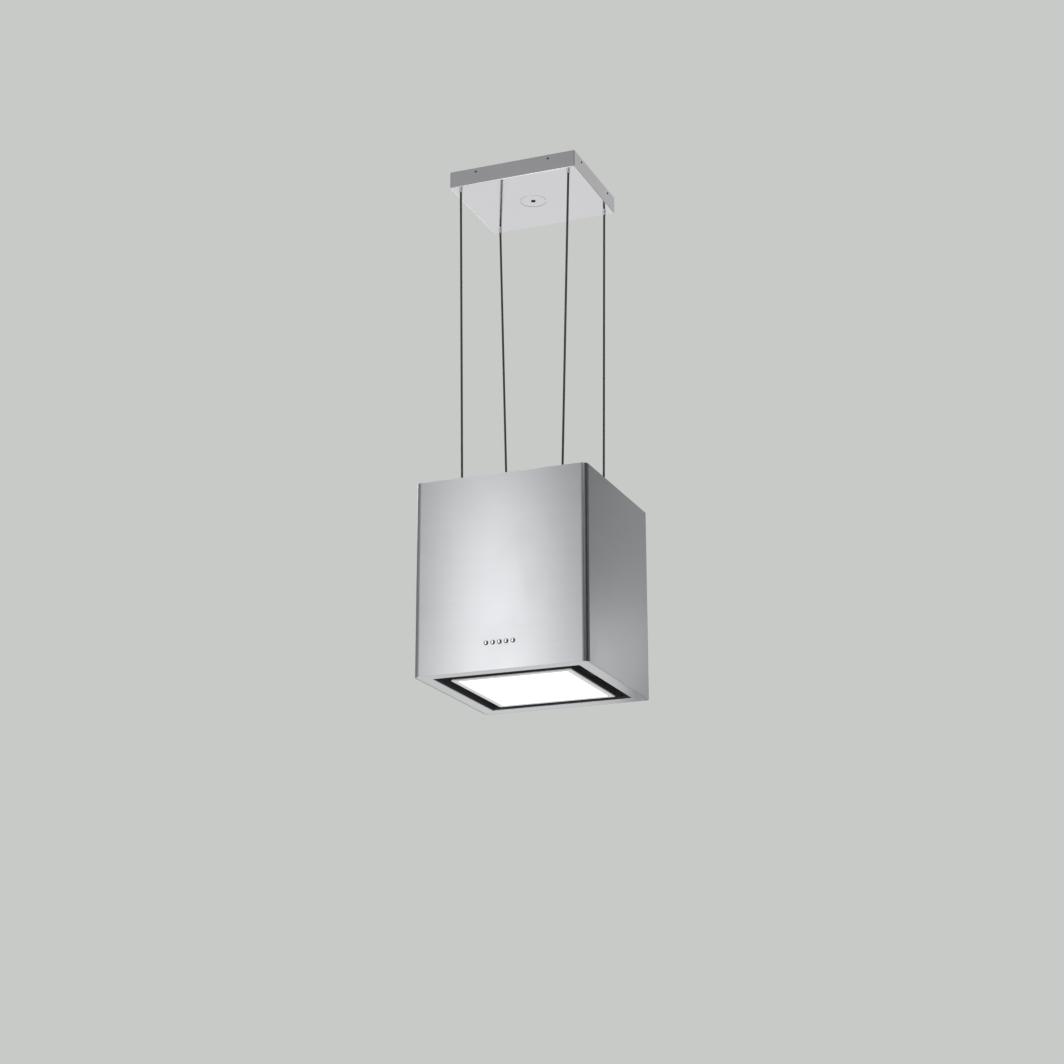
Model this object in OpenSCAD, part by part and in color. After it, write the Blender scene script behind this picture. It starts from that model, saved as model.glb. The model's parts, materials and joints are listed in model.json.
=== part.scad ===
// Island range hood: a square brushed steel body that hangs on four steel ropes
// below a flat ceiling plate. Air is drawn in through a narrow slot around a
// lighted panel in the underside, passes a grease filter, a double-inlet blower
// and a charcoal filter, and leaves through a grille in the top.
//
// Origin: centre of the ceiling bracket's upper face, which lies on the ceiling.
// +Z is up and -Y is the side with the buttons. Everything hangs below z = 0.
// Inside the body, heights are given as "u", measured up from the underside.

/* [Body] */
// Width of the body, left to right
hood_w = 390; // [380:1:430]
// Depth of the body, front to back
hood_d = 390; // [380:1:430]
// Height of the body
hood_h = 426; // [424:1:460]
// Outside radius of the upright corners
corner_r = 13; // [10:0.5:16]
// Thickness of the steel sheet
sheet_t = 1.2; // [1:0.1:1.5]

/* [Underside] */
// Width of the steel rim around the suction opening
rim_w = 31; // [30:0.5:34]
// Side of the lighted glass panel
glass_w = 270; // [262:1:272]
// Thickness of the glass panel
glass_t = 3; // [2.5:0.5:3]

/* [Buttons] */
// Distance between neighbouring buttons
button_pitch = 15; // [14:0.5:18]
// Diameter of a button
button_d = 9; // [8:0.5:10]
// Height of the button row above the underside
button_u = 58.6; // [57:0.2:60]
// Travel of a button
button_travel = 2; // [1.5:0.1:2.2]

/* [Suspension] */
// Distance from the ceiling to the underside of the body
drop = 1183; // [900:1:1500]
// Diameter of a suspension rope
rope_d = 5; // [4:0.5:5]
// Rope position at the ceiling plate, left to right
rope_top_x = 130; // [124:1:132]
// Rope position at the ceiling plate, front to back
rope_top_y = 116; // [110:1:118]
// Rope position at the body, left to right
rope_low_x = 116; // [114:1:130]
// Rope position at the body, front to back
rope_low_y = 128; // [122:1:134]

/* [Ceiling plate] */
// Width of the ceiling plate
tray_w = 300; // [296:1:310]
// Depth of the ceiling plate
tray_d = 262; // [256:1:270]
// Height of the ceiling plate
tray_h = 40; // [40:1:50]
// Diameter of the round cable cap
cap_d = 59; // [50:1:64]
// Distance between the ceiling anchors, left to right
anchor_dx = 220; // [200:1:224]
// Distance between the ceiling anchors, front to back
anchor_dy = 180; // [160:1:190]
// Diameter of the anchor holes
anchor_d = 7; // [6:0.5:8]

/* [Blower] */
// Radius of the impeller
impeller_r = 82; // [78:1:84]
// Number of impeller blades
blade_count = 36; // [24:1:40]
// Smallest radius of the scroll, at its tongue
scroll_r0 = 90; // [88:1:92]
// Largest radius of the scroll, at its outlet
scroll_r1 = 128; // [120:1:130]

/* [Hidden] */

$fn = 64;
eps = 0.01;
gap = 0.3;

// Levels and outlines of the body
base = -drop;
top = base + hood_h;
shell_in = hood_w - 2 * sheet_t;
shell_in_d = hood_d - 2 * sheet_t;
inset_w = shell_in - 0.8;
inset_d = shell_in_d - 0.8;
inset_r = corner_r - sheet_t - 0.4;
opening_w = hood_w - 2 * rim_w;
opening_d = hood_d - 2 * rim_w;
frame_u = hood_h - 4;
top_t = 1.5;

// Suction throat: the black duct between the rim and the blower space
throat_t = 1;
throat_w = opening_w - 2 * gap;
throat_d = opening_d - 2 * gap;
throat_in_x = throat_w / 2 - throat_t;
throat_in_y = throat_d / 2 - throat_t;
throat_u0 = 1.5;
throat_u1 = 75;
lip_h = 14;
lip_t = 1.2;
ring_t = 2;
ring_u1 = throat_u1 + ring_t;
throat_screw_at = 140;
throat_screw_u = 8;

// Grease filter
filter_u = 50;
filter_h = 12;
filter_w = throat_w - 11.4;
filter_rail = 14;
latch_w = 40;
latch_t = 3;
latch_u = filter_u - gap - latch_t;
tongue_w = 28;
latch_travel = 6;
tongue_reach = latch_travel + 2;

// Light panel and its hinge
panel_w = glass_w - 8;
panel_u1 = 20;
panel_wall = 1.5;
panel_rim = 12;
hinge_y = glass_w / 2 + 4.5;
hinge_u = 12;
hinge_x = 90;
hinge_r = 4;
pin_r = 1.5;
strike_x = 80;
strike_y = -118;
strike_t = 1;

// Fasteners and ropes
screw_r = 1.4;
screw_head_r = 2.3;
screw_hole_r = 1.6;
rope_r = rope_d / 2;
rope_play = 0.05;
rope_top_z = -tray_h;
rope_run_x = rope_top_x - rope_low_x;
rope_run_y = rope_top_y - rope_low_y;
rope_run_z = rope_top_z - top;
rope_tilt = atan2(norm([rope_run_x, rope_run_y]), rope_run_z);
stud_r = 4;

// Ceiling assembly
clamp_z = -33;
clamp_r = 7;
clamp_h = 21;
clamp_bore_h = 18.5;
clamp_stud_r = 3;
clamp_stud_h = 29.5;
tray_screw_z = -9.5;
tray_screw_x = 87;
tray_screw_y = 85;
bracket_w = tray_w - 2 * sheet_t - 2 * gap;
bracket_d = tray_d - 2 * sheet_t - 2 * gap;
bracket_t = 2.5;

// Blower, with its axis along X
blower_y = -40;
blower_u = 205;
scroll_w = 130;
scroll_wall = 2;
tongue_a = 60;
inlet_r = 62;
outlet_y0 = blower_y + scroll_r0 * cos(tongue_a);
outlet_y1 = blower_y + scroll_r1;
outlet_u = 345;
shaft_r = 4;
shaft_play = 0.05;
motor_r = 40;
motor_x0 = -66;
motor_x1 = -14;
bearing_r = 11;
bearing_w = 7;
rotor_r = 22;
spider_x = -73;
mount_ring_r = 83;
arm_angles = [30, 150, 270];

// Top panel, grille and charcoal filter
panel_screw_a = 182;
panel_screw_b = 60;
grille_w = 262;
grille_d = 202;
grille_open_w = 236;
grille_open_d = 176;
bar_count = 15;
carbon_u = hood_h - 36.2;
carbon_w = 240;
carbon_d = 184;
carbon_h = 22;
gland_y = 125;

// Buttons and their switch housing
button_xs = [for (i = [-2:2]) i * button_pitch];
front_y = -hood_d / 2;
button_proud = 3;
collar_r = button_d / 2 + 1.1;
stem_r = 2.2;
housing_w = 2 * 2.5 * button_pitch + 18;
housing_h = 20;
housing_y0 = front_y + sheet_t + 0.4;
guide_t = 4.2;
collar_y = front_y + 6;
collar_t = 1.5;
stem_y = collar_y + 9;
switch_h = 2;
board_y = stem_y + button_travel + 0.5 + switch_h;
board_t = 1.6;
housing_y1 = board_y + board_t + 1.7;

// ---------------------------------------------------------------- helpers

// Places children at a height above the underside of the body
module at_u(u) {
    translate([0, 0, base + u]) children();
}

// Rectangle, centred, with round corners
module round_rect(w, d, r) {
    square([w - 2 * r, d], center = true);
    square([w, d - 2 * r], center = true);
    for (x = [-1, 1], y = [-1, 1])
        translate([x * (w / 2 - r), y * (d / 2 - r)]) circle(r);
}

// Upright rectangular tube or flat ring with round corners
module round_ring(w, d, r, wall, h) {
    linear_extrude(h) difference() {
        round_rect(w, d, r);
        if (r > wall) round_rect(w - 2 * wall, d - 2 * wall, r - wall);
        else square([w - 2 * wall, d - 2 * wall], center = true);
    }
}

// Flat rectangular ring between an outer and an inner rectangle
module flat_ring(w, d, in_w, in_d, h) {
    linear_extrude(h) difference() {
        square([w, d], center = true);
        square([in_w, in_d], center = true);
    }
}

// Box given by its lowest and highest corners
module span(a, b) {
    translate(a) cube(b - a);
}

// Repeats children at the four corners of a rectangle
module corners(x, y) {
    for (sx = [-1, 1], sy = [-1, 1])
        translate([sx * x, sy * y, 0]) children();
}

// Repeats children, mirrored left and right
module both_sides() {
    children();
    mirror([1, 0, 0]) children();
}

// Puts children on a rope's line at height z, with their +Z along the rope
module on_rope(sx, sy, z) {
    part = (z - top) / rope_run_z;
    turn = atan2(sy * rope_run_y, sx * rope_run_x);
    translate([sx * (rope_low_x + rope_run_x * part), sy * (rope_low_y + rope_run_y * part), z])
        rotate([0, rope_tilt, turn]) children();
}

// Puts children on all four ropes
module on_ropes(z) {
    for (sx = [-1, 1], sy = [-1, 1]) on_rope(sx, sy, z) children();
}

// Puts children on the blower's axis, with their +Z along +X
module on_blower(x) {
    translate([x, blower_y, base + blower_u]) rotate([0, 90, 0]) children();
}

// Small pan-head screw with its head above z = 0 and its shank below
module m3_screw(length = 6) {
    head_h = 1.2;
    socket_r = 0.9;
    socket_depth = 0.5;
    translate([0, 0, -length]) cylinder(r = screw_r, h = length + eps);
    difference() {
        cylinder(r1 = screw_head_r, r2 = screw_head_r - 0.6, h = head_h);
        translate([0, 0, head_h - socket_depth]) cylinder(r = socket_r, h = 1, $fn = 6);
    }
}

// Places children at the eight side screws of the ceiling plate, +Z outwards
module tray_screw_places() {
    for (s = [-1, 1], t = [-1, 1]) {
        translate([t * tray_screw_x, s * tray_d / 2, tray_screw_z]) rotate([-s * 90, 0, 0]) children();
        translate([s * tray_w / 2, t * tray_screw_y, tray_screw_z]) rotate([0, s * 90, 0]) children();
    }
}

// Places children at the eight throat screws, +Z towards the middle of the opening
module throat_screw_places() {
    for (s = [-1, 1], t = [-1, 1]) {
        translate([t * throat_screw_at, s * throat_in_y, base + throat_screw_u])
            rotate([s * 90, 0, 0]) children();
        translate([s * throat_in_x, t * throat_screw_at, base + throat_screw_u])
            rotate([0, -s * 90, 0]) children();
    }
}

// Places children at the eight screws of the top panel
module top_screw_places() {
    for (s = [-1, 1], t = [-1, 1]) {
        translate([s * panel_screw_a, t * panel_screw_b, top]) children();
        translate([t * panel_screw_b, s * panel_screw_a, top]) children();
    }
}

// Round tube swept along a list of points
function unit(v) = v / norm(v);
function tangent(pts, i) =
    unit(pts[min(i + 1, len(pts) - 1)] - pts[max(i - 1, 0)]);
function side_of(t) = unit(cross(t, abs(t[0]) < 0.8 ? [1, 0, 0] : [0, 1, 0]));
module swept(pts, r, sides = 8) {
    n = len(pts);
    rings = [for (i = [0:n - 1]) let (t = tangent(pts, i), a = side_of(t), b = cross(t, a))
        for (k = [0:sides - 1]) pts[i] + r * (cos(360 * k / sides) * a + sin(360 * k / sides) * b)];
    walls = [for (i = [0:n - 2], k = [0:sides - 1]) let (m = (k + 1) % sides)
        [i * sides + k, i * sides + m, (i + 1) * sides + m, (i + 1) * sides + k]];
    low = [for (k = [sides - 1:-1:0]) k];
    high = [for (k = [0:sides - 1]) (n - 1) * sides + k];
    polyhedron(rings, concat([low], walls, [high]));
}

// Smooths a hand-picked route by cutting its corners
function cut_corners(p) = concat([p[0]],
    [for (i = [0:len(p) - 2]) each [p[i] * 0.75 + p[i + 1] * 0.25, p[i] * 0.25 + p[i + 1] * 0.75]],
    [p[len(p) - 1]]);

// ------------------------------------------------------- ceiling assembly

// Hat-shaped steel bracket that is bolted to the ceiling and carries the ropes
module ceiling_bracket() {
    flange_h = 20;
    flange_t = 1.5;
    nut_r = 6.5;
    nut_h = 6;
    cable_hole_r = 18;
    stud_hole_r = clamp_stud_r + 0.4;
    part = (-nut_h - rope_top_z) / rope_run_z;
    clamp_x = rope_top_x + part * rope_run_x;
    clamp_y = rope_top_y + part * rope_run_y;
    color("silver") difference() {
        union() {
            span([-bracket_w / 2, -bracket_d / 2, -bracket_t], [bracket_w / 2, bracket_d / 2, 0]);
            translate([0, 0, -bracket_t - flange_h])
                flat_ring(bracket_w, bracket_d, bracket_w - 2 * flange_t,
                          bracket_d - 2 * flange_t, flange_h + eps);
            corners(clamp_x, clamp_y) translate([0, 0, -bracket_t - nut_h])
                cylinder(r = nut_r, h = nut_h + 1, $fn = 6);
        }
        corners(anchor_dx / 2, anchor_dy / 2)
            translate([0, 0, -bracket_t - 1]) cylinder(d = anchor_d, h = bracket_t + 2);
        translate([0, 0, -bracket_t - 1]) cylinder(r = cable_hole_r, h = bracket_t + 2);
        corners(clamp_x, clamp_y) translate([0, 0, -bracket_t - nut_h - 1])
            cylinder(r = stud_hole_r, h = nut_h + bracket_t + 2);
        tray_screw_places() translate([0, 0, -8]) cylinder(r = screw_r + 0.1, h = 10);
    }
}

// Folded cover plate that hides the bracket, open towards the ceiling
module ceiling_tray() {
    bend_r = 1.5;
    rope_hole_r = 4;
    color("gainsboro") difference() {
        translate([0, 0, -tray_h]) linear_extrude(tray_h - 2 * gap)
            round_rect(tray_w, tray_d, bend_r);
        translate([0, 0, -tray_h + sheet_t]) linear_extrude(tray_h)
            square([tray_w - 2 * sheet_t, tray_d - 2 * sheet_t], center = true);
        corners(rope_top_x, rope_top_y) translate([0, 0, -tray_h - 1])
            cylinder(r = rope_hole_r, h = 4);
        translate([0, 0, -tray_h - 1]) cylinder(d = cap_d + 1, h = 4);
        tray_screw_places() translate([0, 0, -5]) cylinder(r = screw_hole_r, h = 8);
    }
}

// All the small screws: ceiling plate, suction throat and top panel
module m3_screws() {
    color("dimgray") {
        tray_screw_places() m3_screw();
        throat_screw_places() m3_screw(4);
        top_screw_places() m3_screw();
    }
}

// Round cap in the ceiling plate through which the supply cable leaves
module outlet_cap() {
    flange = 4.5;
    flange_t = 1.2;
    cable_hole_r = 4.7;
    color("gainsboro") difference() {
        union() {
            translate([0, 0, -tray_h]) cylinder(d = cap_d, h = 2);
            translate([0, 0, -tray_h + sheet_t + 0.1])
                cylinder(d = cap_d + 2 * flange, h = flange_t);
        }
        translate([0, 0, -tray_h - 1]) cylinder(r = cable_hole_r, h = 6);
    }
}

// Rubber ring that lines the cable hole in the cap
module cable_grommet() {
    color("black") translate([0, 0, -tray_h]) rotate_extrude()
        polygon([[3.5, -0.8], [5.3, -0.8], [5.4, -0.1], [4.6, -0.1], [4.6, 2.6],
                 [6.2, 2.6], [5.6, 4.4], [3.5, 4.4]]);
}

// Mains connection box inside the ceiling plate
module junction_box() {
    low = [-45, 48, -27];
    high = [45, 98, -bracket_t - 0.2];
    wall = [2, 2, 2];
    entry_r = 4;
    color("whitesmoke") difference() {
        span(low, high);
        span(low + wall, high - wall);
        for (x = [-25, 25]) translate([x, low[1] - 1, -15])
            rotate([-90, 0, 0]) cylinder(r = entry_r, h = 4);
    }
}

// Steel clamp at the top of each rope, with a stud that screws into the bracket
module rope_clamps() {
    grub_hole_r = 1.6;
    color("silver") on_ropes(clamp_z) difference() {
        union() {
            cylinder(r = clamp_r, h = clamp_h);
            cylinder(r = clamp_stud_r, h = clamp_stud_h);
        }
        translate([0, 0, -1]) cylinder(r = rope_r + rope_play, h = clamp_bore_h + 1);
        for (z = [6, 14]) translate([0, 0, z]) rotate([0, 90, 0]) cylinder(r = grub_hole_r, h = 10);
    }
}

// Bush in each rope hole of the ceiling plate
module rope_bushes() {
    color("dimgray") corners(rope_top_x, rope_top_y) translate([0, 0, -tray_h]) rotate_extrude()
        polygon([[2.9, -7.5], [3.2, -7.5], [3.6, -6.8], [3.7, -0.05], [3.8, -0.05],
                 [3.8, 1.3], [5.5, 1.3], [5.5, 2.5], [2.9, 2.5]]);
}

// One steel suspension rope, from inside its clamp to inside its terminal
module rope(sx, sy) {
    low_z = top + 3;
    high_z = clamp_z + clamp_bore_h - 1.5;
    color("dimgray") on_rope(sx, sy, low_z)
        cylinder(r = rope_r, h = (high_z - low_z) / cos(rope_tilt));
}

module rope_front_left() { rope(-1, -1); }
module rope_front_right() { rope(1, -1); }
module rope_rear_left() { rope(-1, 1); }
module rope_rear_right() { rope(1, 1); }

// Threaded terminal at the foot of each rope
module rope_terminals() {
    stud_h = 30;
    washer_r = 8;
    washer_t = 1.4;
    color("silver") on_ropes(top) difference() {
        union() {
            translate([0, 0, -stud_h]) cylinder(r = stud_r, h = stud_h + 2);
            translate([0, 0, 0.6]) cylinder(r = washer_r, h = washer_t);
            translate([0, 0, 0.6 + washer_t]) rotate_extrude()
                polygon([[0, -0.5], [5, -0.5], [5, 9], [4, 12], [0, 12]]);
        }
        translate([0, 0, 2.5]) cylinder(r = rope_r + rope_play, h = 20);
    }
}

// Hexagon nuts that hold the body on the terminals
module terminal_nuts() {
    nut_r = 7.5;
    nut_h = 6.5;
    color("silver") on_ropes(top - 5 - nut_h) difference() {
        cylinder(r = nut_r, h = nut_h, $fn = 6);
        translate([0, 0, -1]) cylinder(r = stud_r + 0.08, h = nut_h + 2.5);
    }
}

// -------------------------------------------------------------- body

// Four-sided brushed steel shell
module outer_shell() {
    color("lightsteelblue") difference() {
        at_u(0) round_ring(hood_w, hood_d, corner_r, sheet_t, hood_h);
        for (x = button_xs) translate([x, front_y - 1, base + button_u])
            rotate([-90, 0, 0]) cylinder(d = button_d + 1, h = 4);
    }
}

// Steel rim around the suction opening, folded up at both edges
module rim_frame() {
    color("lightsteelblue") difference() {
        at_u(0) union() {
            linear_extrude(sheet_t) difference() {
                round_rect(inset_w, inset_d, inset_r);
                square([opening_w, opening_d], center = true);
            }
            round_ring(inset_w, inset_d, inset_r, sheet_t, 12);
            flat_ring(opening_w + 2 * lip_t, opening_d + 2 * lip_t, opening_w, opening_d, lip_h);
        }
        throat_screw_places() translate([0, 0, -6]) cylinder(r = screw_r + 0.1, h = 10);
    }
}

// Black suction duct with the filter's seal ledge, rests and latch slot
module throat() {
    ledge_u = filter_u + filter_h + gap;
    rest_w = 24;
    color("black") difference() {
        union() {
            at_u(throat_u0) flat_ring(throat_w, throat_d, 2 * throat_in_x, 2 * throat_in_y,
                                      throat_u1 - throat_u0);
            at_u(throat_u1 - sheet_t) flat_ring(throat_w + 26, throat_d + 26, 2 * throat_in_x,
                                                2 * throat_in_y, sheet_t);
            at_u(ledge_u) flat_ring(throat_w - 1, throat_d - 1, filter_w - 16, filter_w - 16, sheet_t);
            for (x = [-60, 60]) at_u(filter_u - 1.8)
                span([x - rest_w / 2, filter_w / 2 - 8, 0], [x + rest_w / 2, throat_in_y + 0.5, 1.5]);
        }
        at_u(latch_u - 0.5) span([-tongue_w / 2 - 1, -throat_d / 2 - 1, 0],
                                 [tongue_w / 2 + 1, -throat_in_y + 1, latch_t + 1]);
        throat_screw_places() translate([0, 0, -5]) cylinder(r = screw_hole_r, h = 10);
    }
}

// Steel ring on which the inner parts stand
module lower_ring() {
    color("darkgray") at_u(throat_u1) difference() {
        linear_extrude(ring_t) difference() {
            round_rect(inset_w, inset_d, inset_r);
            square([opening_w - 4, opening_d - 4], center = true);
        }
        translate([40, -180, -1]) cylinder(r = 5, h = 5);
    }
}

// Angle-section posts in the four corners
module corner_posts() {
    leg = 25;
    cut = 8;
    wall = 2;
    a = inset_w / 2 - 0.2;
    b = inset_d / 2 - 0.2;
    color("darkgray") for (sx = [0, 1], sy = [0, 1]) mirror([sx, 0, 0]) mirror([0, sy, 0])
        at_u(ring_u1) linear_extrude(frame_u - ring_u1) difference() {
            polygon([[a - leg, b], [a - cut, b], [a, b - cut], [a, b - leg],
                     [a - wall, b - leg], [a - wall, b - cut], [a - cut, b - wall], [a - leg, b - wall]]);
        }
}

// Square-tube rails that carry the blower
module cross_rails() {
    side_x = inset_w / 2 - 18;
    rail_u = outlet_u - 20;
    half_d = inset_d / 2 - 10;
    color("darkgray") at_u(rail_u) {
        both_sides() difference() {
            span([side_x, -half_d, 0], [side_x + 15, half_d, 20]);
            span([side_x + 1.5, -half_d - 1, 1.5], [side_x + 13.5, half_d + 1, 18.5]);
        }
        for (y = [outlet_y0 - 12.2, outlet_y1 + 0.2]) difference() {
            span([-side_x + 0.2, y, 0], [side_x - 0.2, y + 12, 20]);
            span([-side_x - 1, y + 1.5, 1.5], [side_x + 1, y + 10.5, 18.5]);
        }
    }
}

// Steel frame under the top panel, with corner plates for the ropes and
// welded rails for the charcoal filter
module upper_frame() {
    ring = 30;
    t = 2.5;
    rail_y = carbon_d / 2 + 3;
    rail_t = 1.5;
    lip = 12;
    color("darkgray") {
        at_u(frame_u) difference() {
            union() {
                linear_extrude(t) difference() {
                    round_rect(inset_w, inset_d, inset_r);
                    square([inset_w - 2 * ring, inset_d - 2 * ring], center = true);
                }
                corners((inset_w / 2 - 10 + 92) / 2, (inset_d / 2 - 10 + 108) / 2)
                    linear_extrude(t) square([inset_w / 2 - 10 - 92, inset_d / 2 - 10 - 108], center = true);
                for (s = [-1, 1]) mirror([0, s > 0 ? 1 : 0, 0]) {
                    span([-104, -rail_y - 22, 0], [104, -rail_y, t]);
                    span([-carbon_w / 2, -rail_y - rail_t, carbon_u - frame_u - 1.8],
                         [carbon_w / 2, -rail_y, t]);
                    span([-carbon_w / 2, -rail_y - rail_t, carbon_u - frame_u - 1.8],
                         [carbon_w / 2, -rail_y + lip, carbon_u - frame_u - 0.3]);
                }
            }
            corners(rope_low_x, rope_low_y) translate([0, 0, -1]) cylinder(r = 5, h = 5);
            translate([0, gland_y, -1]) cylinder(r = 14, h = 5);
            for (s = [-1, 1], t = [-1, 1]) {
                translate([s * panel_screw_a, t * panel_screw_b, -1]) cylinder(r = screw_r + 0.1, h = 5);
                translate([t * panel_screw_b, s * panel_screw_a, -1]) cylinder(r = screw_r + 0.1, h = 5);
            }
        }
    }
}

// Steel panel that closes the top of the body
module top_panel() {
    color("lightsteelblue") at_u(hood_h - top_t) difference() {
        linear_extrude(top_t) difference() {
            round_rect(inset_w, inset_d, inset_r);
            square([grille_open_w + 10, grille_open_d + 10], center = true);
        }
        corners(rope_low_x, rope_low_y) translate([0, 0, -1]) cylinder(r = 5, h = 4);
        translate([0, gland_y, -1]) cylinder(r = 8.2, h = 4);
        translate([0, 0, top_t - hood_h - base]) top_screw_places()
            translate([0, 0, -5]) cylinder(r = screw_hole_r, h = 8);
    }
}

// Screwed gland where the supply cable enters the top panel
module cable_gland() {
    color("darkslategray") translate([0, gland_y, top]) {
        difference() {
            union() {
                translate([0, 0, 0.1]) cylinder(r = 12, h = 5, $fn = 6);
                translate([0, 0, -16]) cylinder(r = 7.9, h = 17);
                translate([0, 0, 5]) rotate_extrude()
                    polygon([[0, -0.5], [10, -0.5], [10, 4], [7.5, 9], [0, 9]]);
            }
            translate([0, 0, -17]) cylinder(r = 3.6, h = 40);
        }
        translate([0, 0, -11]) difference() {
            cylinder(r = 12, h = 5, $fn = 6);
            translate([0, 0, -1]) cylinder(r = 8, h = 7);
        }
    }
}

// Grille through which the cleaned air leaves
module outlet_grille() {
    bar_t = 1.8;
    pitch = grille_open_d / (bar_count + 1);
    color("silver") translate([0, 0, top + 0.1]) union() {
        flat_ring(grille_w, grille_d, grille_open_w, grille_open_d, 1.5);
        for (i = [1:bar_count]) translate([0, -grille_open_d / 2 + i * pitch, 0])
            span([-grille_open_w / 2 - 1, -bar_t / 2, -8], [grille_open_w / 2 + 1, bar_t / 2, 1.5]);
        for (x = [-60, 0, 60])
            span([x - bar_t / 2, -grille_open_d / 2 - 1, -5], [x + bar_t / 2, grille_open_d / 2 + 1, 1]);
    }
}

// ------------------------------------------------------------ air path

// Frame of the charcoal filter cassette
module carbon_frame() {
    wall = 4;
    color("black") at_u(carbon_u) {
        difference() {
            span([-carbon_w / 2, -carbon_d / 2, 0], [carbon_w / 2, carbon_d / 2, carbon_h]);
            span([-carbon_w / 2 + wall, -carbon_d / 2 + wall, 1.5],
                 [carbon_w / 2 - wall, carbon_d / 2 - wall, carbon_h - 1.5]);
            span([-carbon_w / 2 + 12, -carbon_d / 2 + 12, -1],
                 [carbon_w / 2 - 12, carbon_d / 2 - 12, carbon_h + 1]);
        }
    }
}

// Charcoal block inside the cassette
module carbon_core() {
    color("dimgray") at_u(carbon_u + 1.8)
        translate([-carbon_w / 2 + 4.3, -carbon_d / 2 + 4.3, 0])
            cube([carbon_w - 8.6, carbon_d - 8.6, carbon_h - 3.6]);
}

// Sheet duct from the blower's outlet to the charcoal filter
module outlet_duct() {
    mid_y = (outlet_y0 + outlet_y1) / 2;
    w = scroll_w + 4;
    d = outlet_y1 - outlet_y0 + 4;
    h = carbon_u - outlet_u - 5;
    color("silver") translate([0, mid_y, base + outlet_u + gap]) {
        flat_ring(w, d, w - 3, d - 3, h);
        translate([0, 0, h - eps]) flat_ring(w + 36, d + 20, w - 3, d - 3, 1.5);
    }
}

// Outline of the scroll: a spiral that opens into an upright outlet
function scroll_r(a) = scroll_r0 + (scroll_r1 - scroll_r0) * (a - tongue_a) / (360 - tongue_a);
function scroll_outline(inset) = concat(
    [for (a = [tongue_a:6:360]) [-(scroll_r(a) - inset) * sin(a), (scroll_r(a) - inset) * cos(a)]],
    [[-(outlet_u - blower_u) - inset, scroll_r1 - inset],
     [-(outlet_u - blower_u) - inset, scroll_r0 * cos(tongue_a) + inset]]);

// One half of the blower housing with its bell-mouth inlet, on the +X side
module scroll_half() {
    half = scroll_w / 2;
    on_blower(0.1) difference() {
        union() {
            difference() {
                linear_extrude(half - 0.1) polygon(scroll_outline(0));
                translate([0, 0, -1]) linear_extrude(half - 0.1 - scroll_wall + 1)
                    polygon(scroll_outline(scroll_wall));
            }
            translate([0, 0, half - 0.1]) rotate_extrude()
                polygon([[inlet_r, -8], [inlet_r + 2, -8], [inlet_r + 4, -1], [inlet_r + 14, -1],
                         [inlet_r + 14, 2], [inlet_r + 5, 2], [inlet_r, -4]]);
        }
        translate([0, 0, half - 10]) cylinder(r = inlet_r, h = 20);
    }
}

module scroll_left() { color("gray") mirror([1, 0, 0]) scroll_half(); }
module scroll_right() { color("gray") scroll_half(); }

// Double-inlet impeller with forward-curved blades
module impeller() {
    half = 52;
    blade_in = impeller_r - 14;
    color("lightgray") on_blower(0) difference() {
        union() {
            translate([0, 0, -half]) linear_extrude(2 * half)
                for (i = [0:blade_count - 1]) rotate(i * 360 / blade_count)
                    translate([blade_in + 0.5, 0]) rotate(25) translate([0, -0.6]) square([13.5, 1.2]);
            for (z = [-half, half - 2]) translate([0, 0, z]) difference() {
                cylinder(r = impeller_r, h = 2);
                translate([0, 0, -1]) cylinder(r = blade_in, h = 4);
            }
            translate([0, 0, 4]) cylinder(r = impeller_r, h = 2);
            translate([0, 0, -3]) cylinder(r = 11, h = 21);
        }
        translate([0, 0, -4]) cylinder(r = shaft_r + 0.02, h = 30);
    }
}

// ------------------------------------------------------------ motor

// Motor shaft with its laminated rotor
module motor_rotor() {
    color("silver") union() {
        on_blower(-68) cylinder(r = shaft_r, h = 84);
        on_blower(-52) cylinder(r = rotor_r, h = 24);
    }
}

// Two ball bearings
module motor_bearings() {
    color("silver") for (x = [motor_x0 + 2, motor_x1 - 2 - bearing_w]) on_blower(x) difference() {
        cylinder(r = bearing_r, h = bearing_w);
        translate([0, 0, -1]) cylinder(r = shaft_r + shaft_play, h = bearing_w + 2);
    }
}

// Laminated stator around the rotor
module motor_stator() {
    color("sienna") on_blower(-53) difference() {
        cylinder(r = motor_r - 1.8, h = 26);
        translate([0, 0, -1]) cylinder(r = rotor_r + 0.6, h = 28);
        for (a = [0:30:330]) rotate(a) translate([27, 0, -1]) cylinder(r = 3, h = 28);
    }
}

// One cup of the motor housing, open upwards
module motor_cup(depth) {
    seat = 9;
    difference() {
        union() {
            difference() {
                cylinder(r = motor_r, h = depth);
                translate([0, 0, 2]) cylinder(r = motor_r - 1.5, h = depth);
            }
            cylinder(r = bearing_r + 2, h = seat);
        }
        translate([0, 0, 2]) cylinder(r = bearing_r + 0.02, h = seat);
        translate([0, 0, -1]) cylinder(r = shaft_r + 2, h = 5);
    }
}

// The two cups of the motor housing
module motor_shells() {
    depth = (motor_x1 - motor_x0) / 2 - 0.1;
    color("darkgray") {
        on_blower(motor_x0) motor_cup(depth);
        on_blower(motor_x1) mirror([0, 0, 1]) motor_cup(depth);
    }
}

// Three-armed bracket that carries the motor in the left inlet
module motor_spider() {
    color("darkgray") on_blower(spider_x) difference() {
        union() {
            difference() {
                cylinder(r = motor_r, h = 2);
                translate([0, 0, -1]) cylinder(r = 20, h = 4);
            }
            for (a = arm_angles) rotate(a) {
                span([motor_r - 5, -6, 0], [mount_ring_r + 7, 6, 2]);
                translate([30, 0, 0]) cylinder(r = 4, h = motor_x0 - spider_x - 0.2);
            }
        }
        for (a = arm_angles) rotate(a)
            translate([mount_ring_r, 0, -1]) cylinder(r = 2.7, h = 4);
    }
}

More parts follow.
